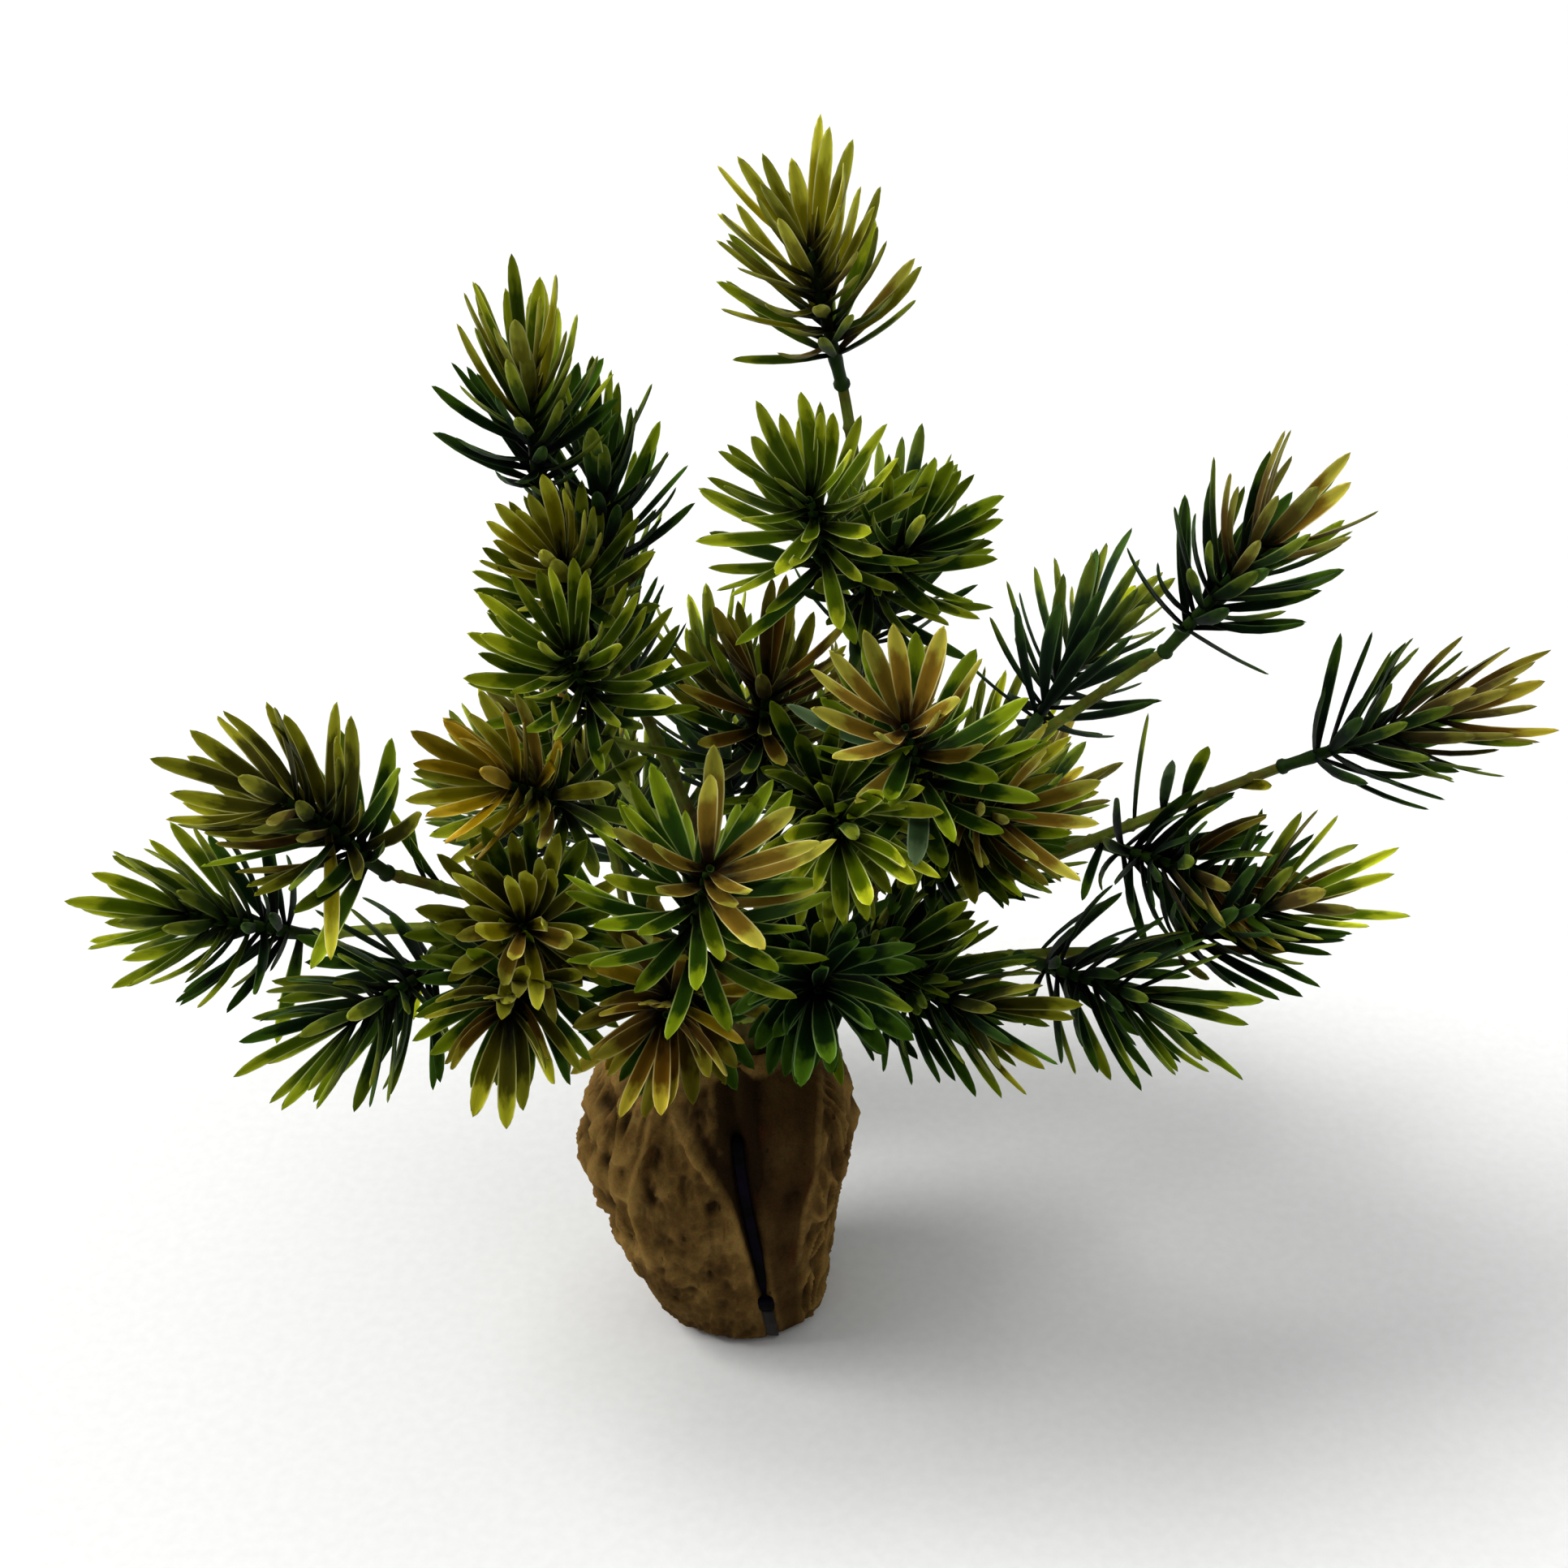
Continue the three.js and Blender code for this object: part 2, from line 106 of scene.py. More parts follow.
# Outline of the base from its underside up: height, then its left, right, front and back limits.
BASE_OUTLINE = (
    (0, -26, 22, -24.5, 24),
    (5, -33, 26, -28.5, 28),
    (20, -40.8, 27, -32.6, 31),
    (40, -47, 27.4, -36.6, 34),
    (58, -52.4, 30.6, -38.6, 36),
    (72, -56.2, 34.2, -38.6, 37),
    (86, -53.4, 33.2, -37.6, 36),
    (98, -49, 30, -35, 34),
    (106, -42, 24, -29, 29),
    (110, -34, 16, -22, 22),
)

# Main forms of the base's skin: the middle of each, its half width and half height, and how far it swells
# out of the plain skin or sinks into it.
BASE_FORMS = (
    (-18, -36, 60, 12, 24, 2.2),
    (-24, -33, 96, 8, 10, -3),
    (-38, -26, 80, 6, 20, 1.8),
    (9, -36, 74, 8, 26, -2.2),
    (22, -28, 78, 6, 26, 1.8),
    (-30, -28, 32, 9, 12, 1.4),
    (14, -30, 28, 9, 12, 1.2),
    (-52, -8, 84, 8, 18, 1.8),
    (-54, 12, 62, 9, 22, -1.8),
    (-46, 4, 34, 9, 16, 1.6),
    (-50, -16, 56, 7, 16, -1.5),
    (33, -10, 60, 7, 20, -1.6),
    (33, 8, 80, 8, 20, 1.8),
    (29, 2, 36, 8, 16, 1.5),
    (-34, 30, 80, 8, 20, 1.8),
    (-16, 36, 66, 9, 24, -2.2),
    (2, 36, 70, 9, 24, 2.2),
    (20, 30, 56, 8, 22, -1.8),
    (-24, 32, 34, 10, 14, 1.6),
    (8, 32, 28, 9, 12, -1.2),
)

# Lines down the front of the base, as sideways places and heights.
FRONT_LINES = {
    "crevice": ((7.5, 0), (7, 8), (5, 24), (2, 48), (-1.5, 72), (-3.5, 92), (-5, 110)),
    "border": ((-35, 52), (-38.6, 66), (-37.6, 78), (-33.6, 91), (-30.5, 103), (-29, 108)),
    "slant": ((2, 30), (0, 46), (-2.5, 60), (-6, 74), (-12, 84), (-21, 95), (-24, 102)),
    "edge": ((15, 30), (16.5, 47), (17.5, 66), (21.5, 82), (22, 96), (23, 108)),
}
# Ridges and grooves beside those lines: how far to the right, how high, how wide, the heights that each
# runs between, and how softly it ends.
LINE_FORMS = (
    ("border", 0, 1.7, 1.1, 52, 104, 10),
    ("border", 4, -0.9, 2.6, 62, 98, 12),
    ("slant", 0, 1.9, 1.8, 40, 98, 14),
    ("slant", 6, -1.5, 3.4, 84, 104, 10),
    ("edge", 0, 1.3, 1.7, 44, 104, 10),
    ("edge", -5, -0.7, 4.0, 50, 104, 14),
)
# The back has the front's forms, mirrored about this sideways place. Level steps run round both sides, this
# far apart, from the height of one of them.
MIRROR = -3
LEVEL_GAP = 15.5
LEVEL_HEIGHT = 74
# Pits: sideways place, height, radius and depth.
PITS = (
    (-31.5, 72.5, 3.0, 1.6),
    (-12, 73, 2.6, 1.8),
    (-20, 79, 5.0, 1.4),
    (-12.5, 62, 2.8, 1.6),
    (-11, 55, 2.4, 1.5),
    (-27, 58, 3.4, 1.2),
    (-22, 47, 3.0, 1.1),
    (-29, 42, 2.4, 1.2),
    (-19, 33, 2.6, 1.0),
    (-13, 40, 2.2, 1.0),
    (-25, 26, 2.0, 1.2),
    (14, 72, 2.6, 1.3),
    (9, 30, 1.8, 0.9),
    (13, 26, 1.6, 0.9),
)
# Rings over the top of the base, from its rim to the wall of the socket and down it: how far each lies from
# the socket's middle, as a share of the way to the rim, and its height. The wall's own share is the last.
TOP_RINGS = ((0.8, 111.2), (0.6, 111.6), (0.42, 111.2), (0.26, 110.0), (0.26, 106.5), (0.26, 101.0))

# Stems: the height at which each leaves the trunk, and the point that it bends towards.
STEMS = {
    "top": (150, (46, 8, 236)),
    "upper_right": (139, (58, 0, 206)),
    "upper_left": (132, (-32, 10, 238)),
    "front_right": (124, (40, -38, 165)),
    "left": (127, (-52, -34, 182)),
    "right": (131, (72, -4, 176)),
    "back": (129, (2, 56, 142)),
    "front": (120, (-8, -42, 150)),
    "lower_left": (115, (-52, -18, 178)),
    "lower_right": (119, (60, -20, 164)),
    "back_left": (117, (-40, 40, 130)),
    "back_right": (116, (44, 38, 130)),
}

# Sprigs: how far along its stem each one branches off, the point where its leaves start, its heading, its
# pitch, the spread of its lowest and of its last leaves, all in degrees, then how far it is bowed over, the
# tint of its slot, and the tints of its lower, middle, upper and odd leaves.
Sprig = namedtuple("Sprig", "share start heading pitch spread close bow slot lower middle upper odd")
SPRIG_ROWS = {
    "top": {
        "low": (0.22, (4, 10, 208), 8, 67, 66, 26, 6, "bronze", "green", "olive", "bronze", "olive"),
        "middle": (0.42, (21, -40, 231), 8, 14, 60, 20, 0, "lime", "green", "lime", "lime", "green"),
        "back": (0.56, (36, 34, 238), 160, 34, 50, 20, 4, "green", "dark", "green", "green", "dark"),
        "side": (0.64, (33, 15, 263), 28, 46, 60, 22, 4, "lime", "dark", "green", "green", "lime"),
        "front": (0.8, (23, 0, 280), -14, 53, 78, 20, 10, "lime", "green", "lime", "lime", "lime"),
        "tip": (1, (25, 20, 336), -27, 64, 48, 24, 2, "bronze", "lime", "yellow", "yellow", "tan"),
    },
    "upper_left": {
        "back": (0.3, (-44, 45, 205), -170, 60, 40, 26, 4, "dark", "dark", "dark", "green", "dark"),
        "front": (0.44, (-45, 0, 232), -12, 55, 70, 22, 10, "lime", "green", "lime", "lime", "lime"),
        "low": (0.54, (-48, 25, 250), -10, 52, 50, 18, 4, "lime", "green", "lime", "yellow", "olive"),
        "side": (0.62, (-43, 35, 263), 4, 71, 44, 18, 2, "green", "dark", "dark", "green", "green"),
        "tip": (1, (-59, 15, 300), 0, 69, 46, 14, 2, "lime", "dark", "lime", "yellow", "lime"),
    },
    "left": {
        "side": (0.36, (-53, -12, 208), -26, 38, 62, 22, 4, "bronze", "lime", "yellow", "orange", "tan"),
        "front": (0.52, (-62, -45, 185), 4, 38, 56, 20, 6, "bronze", "green", "olive", "yellow", "tan"),
        "tip": (1, (-103, -65, 225), -38, 51, 52, 26, 8, "green", "green", "olive", "olive", "bronze"),
    },
    "lower_left": {
        "front": (0.45, (-62, -50, 178), -3, 17, 60, 22, 4, "green", "dark", "green", "olive", "bronze"),
        "side": (0.6, (-92, -40, 169), -28, 9, 62, 22, 6, "lime", "dark", "green", "lime", "dark"),
        "tip": (1, (-137, -30, 175), -42, 35, 54, 20, 2, "lime", "dark", "lime", "lime", "green"),
    },
    "front": {
        "low_left": (
            0.25, (-18, -50, 174), -5, 20, 60, 24, 4, "bronze", "dark", "bronze", "bronze", "orange"
        ),
        "low_right": (0.3, (19, -50, 179), 2, 24, 58, 22, 4, "dark", "dark", "dark", "dark", "green"),
        "tip": (1, (-13, -85, 210), 20, 64, 84, 32, 16, "bronze", "green", "green", "tan", "lime"),
    },
    "front_right": {
        "tip": (1, (49, -45, 230), -20, 61, 78, 26, 12, "bronze", "green", "green", "tan", "grey"),
    },
    "upper_right": {
        "low": (0.3, (52, -14, 196), 26, 36, 54, 24, 4, "dark", "dark", "dark", "green", "dark"),
        "front": (0.42, (55, -20, 207), 28, 34, 54, 24, 4, "bronze", "dark", "olive", "tan", "bronze"),
        "side": (0.62, (88, 15, 222), 148, 20, 58, 20, 2, "green", "dark", "green", "lime", "dark"),
        "tip": (1, (127, 0, 261), 52, 58, 50, 20, 2, "bronze", "dark", "green", "tan", "dark"),
    },
    "right": {
        "side": (0.58, (115, 0, 184), 31, 18, 46, 22, 2, "dark", "dark", "dark", "bronze", "green"),
        "tip": (1, (170, 0, 218), 63, 34, 48, 20, 2, "green", "dark", "green", "bronze", "green"),
    },
    "lower_right": {
        "inner": (0.15, (28, -30, 153), 37, 50, 56, 22, 2, "dark", "dark", "dark", "green", "dark"),
        "front": (0.3, (41, -40, 165), 39, 17, 46, 20, 2, "lime", "dark", "green", "olive", "dark"),
        "side": (0.6, (90, -30, 162), 41, 14, 50, 20, 2, "green", "dark", "dark", "green", "lime"),
        "tip": (1, (129, -30, 171), 57, 41, 48, 20, 2, "green", "dark", "dark", "lime", "bronze"),
    },
    "back_left": {
        "up": (0.5, (-46, 52, 150), -135, 50, 56, 22, 4, "bronze", "green", "olive", "bronze", "olive"),
        "side": (0.6, (-36, 82, 124), -170, 10, 60, 26, 4, "lime", "green", "lime", "lime", "green"),
        "tip": (1, (-70, 80, 126), -142, 18, 58, 26, 4, "green", "dark", "green", "lime", "dark"),
    },
    "back": {
        "up": (0.5, (26, 62, 156), 150, 48, 62, 22, 4, "bronze", "green", "tan", "tan", "olive"),
        "side": (0.62, (-8, 70, 160), -165, 58, 62, 24, 4, "green", "dark", "green", "lime", "grey"),
        "tip": (1, (8, 104, 132), 176, 20, 60, 22, 4, "lime", "green", "lime", "olive", "green"),
    },
    "back_right": {
        "up": (0.5, (58, 44, 150), 130, 48, 54, 20, 4, "lime", "dark", "green", "lime", "dark"),
        "side": (0.6, (46, 84, 122), 166, 10, 60, 26, 4, "dark", "dark", "dark", "green", "dark"),
        "tip": (1, (78, 74, 126), 142, 18, 58, 26, 4, "green", "dark", "green", "bronze", "green"),
    },
}
SPRIGS = {
    stem: {f"{stem}_{end}": Sprig(*row) for end, row in rows.items()} for stem, rows in SPRIG_ROWS.items()
}

# How broad the leaves of a stem's sprigs are, as a share of the usual width.
BREADTHS = {"front": 1.2, "front_right": 1.2, "left": 1.1, "right": 0.92, "lower_right": 0.92}

# Single leaves face the viewer before they are turned. Past a share of one along its stem, a leaf's place
# runs on up the last sprig, by this many millimetres for another whole share.
TOWARDS_VIEWER = (0, -0.85, 0.53)
STRAY_REACH = 100
# Their rows: stem, share along it, the way that the leaf points, its length and its width as shares of a
# full leaf's, its turn about itself in degrees, its shape and its tint.
STRAY_LEAVES = (
    ("right", 0.75, (4.5, 17.7, 28.3), 0.95, 0.8, 60, 0, "green"),
    ("right", 0.8, (-0.7, -4, 20), 0.6, 0.9, 10, 5, "grey"),
    ("right", 0.835, (3.2, -3, 20), 0.66, 1.1, 0, 1, "green"),
    ("right", 0.86, (-10, -12, -12), 0.7, 0.9, 20, 2, "dark"),
    ("right", 0.7, (-6, -10, -14), 0.6, 0.8, -30, 3, "dark"),
    ("right", 0.92, (14, -8, 6), 0.35, 0.8, 0, 1, "olive"),
    ("lower_right", 0.73, (24.6, 9, 14.6), 0.86, 0.8, 70, 2, "dark"),
    ("lower_right", 0.84, (24, 4.6, 7.4), 0.72, 0.7, 80, 1, "grey"),
    ("left", 0.86, (-14, 6, 22), 0.8, 0.8, 40, 1, "green"),
    ("left", 1.1, (-13, -16, -19), 0.92, 1.1, 0, 0, "green"),
    ("left", 1.32, (1.3, -17, -25), 0.98, 1.1, 10, 3, "yellow"),
    ("left", 0.9, (-5, 10, 14), 0.5, 0.7, 50, 1, "dark"),
    ("lower_left", 1.06, (-5.5, -14, -24), 0.95, 1.1, 0, 1, "green"),
    ("lower_left", 0.74, (14, -14, -20), 0.95, 1.1, 0, 3, "green"),
    ("lower_left", 0.8, (-2, -12, -24), 0.8, 0.8, 30, 4, "lime"),
    ("back_left", 0.8, (-18, 14, 20), 0.8, 0.9, 0, 1, "green"),
    ("back", 0.8, (14, 16, 22), 0.8, 0.9, 0, 3, "dark"),
)

# Leaf tints: colour at the root, darkened as painted shade among the leaf roots, in the middle, at the tip
# and along the rim, a pale moulded edge that is brightened as a painted highlight.
LEAF_TINTS = {
    "lime": ("#101a02", "#586e04", "#b6c020", "#dce08c"),
    "green": ("#070e03", "#2c4806", "#8ca012", "#bcca70"),
    "dark": ("#040a05", "#122a0a", "#4c7014", "#7c9a5a"),
    "olive": ("#0e0d02", "#4c4904", "#a8a620", "#ccc878"),
    "bronze": ("#160e04", "#60450a", "#a89a28", "#ccbe78"),
    "tan": ("#26190a", "#866a1e", "#bcb43e", "#dcd48c"),
    "yellow": ("#221d05", "#8e860a", "#c8c634", "#e4e098"),
    "orange": ("#241c04", "#987c06", "#cca824", "#e6d680"),
    "grey": ("#0c150d", "#415a34", "#70885a", "#a2b48c"),
}
# How many shades of each tint the leaf map tells apart, and the empty share at the sides of its cells.
SHADES = 4
CELL_MARGIN = 0.04

# The beginnings of Blender's node names.
NODE_FAMILIES = ("ShaderNode", "GeometryNode", "FunctionNode", "Node")


def linear(colour):
    """A hex colour, as seen on a screen, turned to the linear values that a shader takes."""
    parts = [int(colour[i : i + 2], 16) / 255 for i in (1, 3, 5)]
    return tuple(c / 12.92 if c <= 0.04045 else ((c + 0.055) / 1.055) ** 2.4 for c in parts) + (1,)


def feed(node, inputs):
    """Sets or links a node's inputs, by place or by name. A node given stands for its first output."""
    for key, value in inputs.items():
        shown = [socket for socket in node.inputs if socket.enabled]
        socket = shown[key] if isinstance(key, int) else next(s for s in shown if s.name == key)
        if isinstance(value, bpy.types.Node):
            value = next(output for output in value.outputs if output.enabled)
        if isinstance(value, bpy.types.NodeSocket):
            node.id_data.links.new(value, socket)
        else:
            socket.default_value = value


def put(tree, kind, *inputs, stops=(), **settings):
    """Adds a node with its settings and links. Its inputs come in their order, or as one dictionary."""
    family = next(family for family in NODE_FAMILIES if hasattr(bpy.types, family + kind))
    node = tree.nodes.new(family + kind)
    for name, value in settings.items():
        setattr(node, name, value)
    for place, (position, colour) in enumerate(stops):
        ramp = node.color_ramp.elements
        stop = ramp[place] if place < len(ramp) else ramp.new(position)
        stop.position = position
        stop.color = linear(colour)
    by_name = inputs and isinstance(inputs[0], dict)
    feed(node, inputs[0] if by_name else dict(enumerate(inputs)))
    return node


def mix(a, b, share):
    """The value at a share of the way from one value to another."""
    return a + (b - a) * share


def direction_of(heading, pitch):
    """The unit vector of a heading from the front and a pitch above level, in degrees."""
    turn = math.radians(heading)
    rise = math.radians(pitch)
    return Vector((math.sin(turn) * math.cos(rise), -math.cos(turn) * math.cos(rise), math.sin(rise)))


def bezier_point(a, b, c, t):
    """The point at a share of a curve that leaves a towards b and comes to c from b."""
    return Vector(a) * (1 - t) ** 2 + Vector(b) * 2 * t * (1 - t) + Vector(c) * t * t


def bezier(a, b, c, steps):
    """Points along such a curve."""
    return [bezier_point(a, b, c, i / steps) for i in range(steps + 1)]


def placed(name, data):
    """An object in the scene with its mesh, light or camera."""
    thing = bpy.data.objects.new(name, data)
    bpy.context.scene.collection.objects.link(thing)
    return thing


def smooth_mesh(name, spots, faces, finish):
    """A smooth mesh with one finish, from spots in millimetres."""
    mesh = bpy.data.meshes.new(name)
    mesh.from_pydata([spot * MM for spot in spots], [], faces)
    mesh.polygons.foreach_set("use_smooth", [True] * len(mesh.polygons))
    mesh.materials.append(finish)
    return mesh


def wall_faces(rings, sides):
    """The faces of a closed wall between rings."""
    faces = []
    for ring in range(rings - 1):
        for k in range(sides):
            a = ring * sides + k
            b = ring * sides + (k + 1) % sides
            faces.append((a, b, b + sides, a + sides))
    return faces


def tube_faces(rings, sides):
    """The faces of a wall and of its two flat ends."""
    last = (rings - 1) * sides
    ends = [tuple(reversed(range(sides))), tuple(last + k for k in range(sides))]
    return wall_faces(rings, sides) + ends


def add_values(mesh, name, values):
    """Gives each point of a mesh a value that its finish reads."""
    layer = mesh.attributes.new(name, "FLOAT", "POINT")
    layer.data.foreach_set("value", values)


# THE PLANT'S LINES


def sprig_way(sprig):
    """The unit vector from a sprig's foot to its tip."""
    return direction_of(sprig.heading, sprig.pitch)


def sprig_axis(sprig):
    """Points along the leafy part of a sprig, which starts steeper and ends flatter than its chord."""
    start = Vector(sprig.start)
    half = AXIS / 2 / math.cos(math.radians(sprig.bow))
    control = start + direction_of(sprig.heading, sprig.pitch + sprig.bow) * half
    return bezier(start, control, start + sprig_way(sprig) * AXIS, steps=12)


def collar_foot(sprig):
    """The point where a sprig's bare collar starts, below its lowest leaves."""
    return Vector(sprig.start) - sprig_way(sprig) * COLLAR


def last_sprig(stem):
    """The sprig at the end of a stem."""
    return next(sprig for sprig in SPRIGS[stem].values() if sprig.share == 1)


def trunk_at(height):
    """The point on the trunk's centre line at a height, found by halving."""
    low, high = 0.0, 1.0
    for _ in range(30):
        share = (low + high) / 2
        point = bezier_point(*TRUNK, share)
        if point.z < height:
            low = share
        else:
            high = share
    return point


def stem_ends(name):
    """The root, the bend and the tip of a stem, which ends at the collar of its last sprig."""
    height, bend = STEMS[name]
    return trunk_at(height), Vector(bend), collar_foot(last_sprig(name))


# MATERIALS


def new_material(name, **shader):
    """A material with a principled shader whose own sockets hold what is the same all over."""
    material = bpy.data.materials.new(name)
    material.use_nodes = True
    tree = material.node_tree
    tree.nodes.clear()
    add = partial(put, tree)
    surface = add("BsdfPrincipled", {k.replace("_", " "): v for k, v in shader.items()})
    add("OutputMaterial", {"Surface": surface})
    return material, add, surface


def soft_moulded_leaf(name, root, middle, tip, rim):
    """Soft polyethylene, injection moulded and airbrushed.

    A satin skin brushed from a dark root to a lighter tip, the root darkened further as painted shade among
    the leaves, with painted shade along its hollow middle, a pale moulded rim brightened as a painted
    highlight, and a duller back.
    """
    material, add, surface = new_material(name, IOR=1.51, Specular_IOR_Level=0.04)
    leaf = add("SeparateXYZ", add("UVMap", uv_map="leaf"))
    along = leaf.outputs["X"]
    across = leaf.outputs["Y"]
    shade = add("Attribute", attribute_name="shade").outputs["Fac"]
    # Blotches 6 mm long and 2 mm wide, others on each shade of leaf.
    own = add("Math", shade, 40.0, operation="MULTIPLY")
    spot = add("CombineXYZ", {"X": along, "Y": across, "Z": own})
    spread_out = add("VectorMath", spot, (6.0, 2.4, 1.0), operation="MULTIPLY")
    blotches = add("TexNoise", {"Vector": spread_out, "Scale": 1.0, "Detail": 3.0})
    uneven = add("MapRange", {"Value": blotches, "To Min": -0.22, "To Max": 0.22})
    brushed = add("Math", along, uneven, operation="ADD")
    # The root colour is partly the brushed paint and partly painted shade among the leaf roots.
    body = add(
        "ValToRGB", {"Fac": brushed}, stops=[(0.1, root), (0.46, middle), (0.6, middle), (0.82, tip)]
    )
    body.color_ramp.interpolation = "EASE"
    from_rim = add("Math", across, 0.5, operation="PINGPONG")
    # A pale moulded rim, brightened further as a painted highlight along the leaf's edges.
    rim_highlight_share = add(
        "MapRange",
        {"Value": from_rim, "From Min": 0.03, "From Max": 0.11, "To Min": 0.8, "To Max": 0},
        interpolation_type="SMOOTHSTEP",
    )
    rim_highlight_grows = add("MapRange", {"Value": along, "From Min": 0.1, "From Max": 0.6})
    rim_highlight_here = add("Math", rim_highlight_share, rim_highlight_grows, operation="MULTIPLY")
    rim_highlighted = add("Mix", {"Factor": rim_highlight_here, "A": body, "B": linear(rim)}, data_type="RGBA")
    on_back = add("Math", across, 1.0, operation="GREATER_THAN")
    back_share = add("Math", on_back, 0.45, operation="MULTIPLY")
    backed = add("Mix", {"Factor": back_share, "A": rim_highlighted, "B": linear("#27382b")}, data_type="RGBA")
    # Painted shade along the leaf's hollow middle, a little lighter near the rims.
    hollow = add(
        "MapRange",
        {"Value": from_rim, "From Min": 0.1, "From Max": 0.42, "To Min": 1.1, "To Max": 0.72},
        interpolation_type="SMOOTHSTEP",
    )
    # Each leaf's brightness: its random tone, with the painted shade of the lower whorls.
    tone_and_painted_shade = add("MapRange", {"Value": shade, "To Min": 0.45, "To Max": 1.4})
    lighter = add("Math", tone_and_painted_shade, hollow, operation="MULTIPLY")
    warmer = add("MapRange", {"Value": shade, "To Min": 0.512, "To Max": 0.492})
    shaded = add("HueSaturation", {"Hue": warmer, "Value": lighter, "Color": backed})
    streaked = add("VectorMath", spot, (9.0, 30.0, 1.0), operation="MULTIPLY")
    ribs = add("TexNoise", {"Vector": streaked, "Scale": 1.0, "Detail": 2.0})
    relief = add("Bump", {"Strength": 0.5, "Distance": 0.25 * MM, "Height": ribs})
    rough = add("MapRange", {"Value": on_back, "To Min": 0.45, "To Max": 0.6})
    feed(surface, {"Base Color": shaded, "Roughness": rough, "Normal": relief})
    return material


def ribbed_moulded_stem(name, light, dark, brown):
    """Stiffer moulded polyethylene over wire.

    Satin and ribbed, olive where it is clean, browner in patches, with fine overlaid streaks.
    """
    material, add, surface = new_material(name, IOR=1.51, Roughness=0.5, Specular_IOR_Level=0.06)
    place = add("TexCoord").outputs["Object"]
    patches = add("TexNoise", {"Vector": place, "Scale": 1 / (22 * MM), "Detail": 3.0})
    colour = add("ValToRGB", {"Fac": patches}, stops=[(0.32, brown), (0.5, dark), (0.68, light)])
    streaks = add("TexNoise", {"Vector": place, "Scale": 1 / (1.6 * MM), "Detail": 2.0})
    streaked = add(
        "Mix",
        {"Factor": 0.45, "A": colour, "B": streaks.outputs["Color"]},
        data_type="RGBA",
        blend_type="OVERLAY",
    )
    relief = add("Bump", {"Strength": 0.4, "Distance": 0.12 * MM, "Height": streaks})
    feed(surface, {"Base Color": streaked, "Normal": relief})
    return material


def cast_resin_sandstone(name):
    """Cast polyester resin with a brushed-on sandstone paint.

    Dull brown with painted shade and shadow in places, lighter ridges, a few reddish scratches and a fine
    grain.
    """
    material, add, surface = new_material(name, IOR=1.5, Roughness=0.88, Specular_IOR_Level=0.02)
    place = add("TexCoord").outputs["Object"]
    stain = add("Attribute", attribute_name="stain").outputs["Fac"]
    height = add("Attribute", attribute_name="height").outputs["Fac"]
    # Painted shade, from the values that the base sets on its skin.
    painted_shade_share = add("Math", stain, 0.85, operation="MULTIPLY")
    # Painted shade in the lowest places: hollows, the socket and the top of the crevice.
    painted_recess_shade = add(
        "MapRange", {"Value": height, "From Min": -2.0, "From Max": 0.0, "To Min": 0.9, "To Max": 0}
    )
    lighter_ridges = add("MapRange", {"Value": height, "From Min": 0.4, "From Max": 1.8, "To Max": 0.65})
    stretched = add("Mapping", {"Vector": place, "Rotation": (0, 0.5, 0), "Scale": (1, 1, 0.22)})
    scratches = add("TexNoise", {"Vector": stretched, "Scale": 1 / (5 * MM), "Detail": 4.0})
    reddened = add("MapRange", {"Value": scratches, "From Min": 0.62, "From Max": 0.74, "To Max": 0.6})
    # Slanted nicks about a millimetre wide, thick in some places and missing in others.
    slanted = add("Mapping", {"Vector": place, "Rotation": (0, -0.6, 0), "Scale": (1, 1, 0.36)})
    cells = add("TexVoronoi", {"Vector": slanted, "Scale": 1 / (3.0 * MM), "Randomness": 1.0})
    field = add("TexNoise", {"Vector": place, "Scale": 1 / (11 * MM), "Detail": 2.0})
    size = add(
        "MapRange", {"Value": field, "From Min": 0.47, "From Max": 0.68, "To Min": 0.0, "To Max": 0.3}
    )
    inside = add("Math", size, cells, operation="SUBTRACT")
    nicked = add(
        "MapRange",
        {"Value": inside, "From Min": 0.0, "From Max": 0.16, "To Max": 0.6},
        interpolation_type="SMOOTHSTEP",
    )
    clouds = add("TexNoise", {"Vector": place, "Scale": 1 / (14 * MM), "Detail": 5.0})
    paint = add("ValToRGB", {"Fac": clouds}, stops=[(0.34, "#523c1d"), (0.5, "#71562b"), (0.66, "#8b6d3a")])
    for share, colour in (
        (painted_shade_share, "#2c1c0c"),
        (painted_recess_shade, "#150c05"),
        (lighter_ridges, "#93733c"),
        (reddened, "#3a1c0c"),
        (nicked, "#170e05"),
    ):
        paint = add("Mix", {"Factor": share, "A": paint, "B": linear(colour)}, data_type="RGBA")
    # Sand grains of 0.3 mm, drawn at 0.7 mm so that they show.
    grains = add("TexNoise", {"Vector": place, "Scale": 1 / (0.7 * MM), "Detail": 3.0})
    grained = add(
        "Mix",
        {"Factor": 0.55, "A": paint, "B": grains.outputs["Color"]},
        data_type="RGBA",
        blend_type="SOFT_LIGHT",
    )
    coarse = add("TexNoise", {"Vector": place, "Scale": 1 / (3.5 * MM), "Detail": 6.0})
    lumps = add("Bump", {"Strength": 0.9, "Distance": 0.9 * MM, "Height": coarse})
    pits = add(
        "Bump", {"Strength": 0.8, "Distance": 0.5 * MM, "Height": nicked, "Normal": lumps}, invert=True
    )
    relief = add("Bump", {"Strength": 0.7, "Distance": 0.25 * MM, "Height": grains, "Normal": pits})
    feed(surface, {"Base Color": grained, "Normal": relief})
    return material


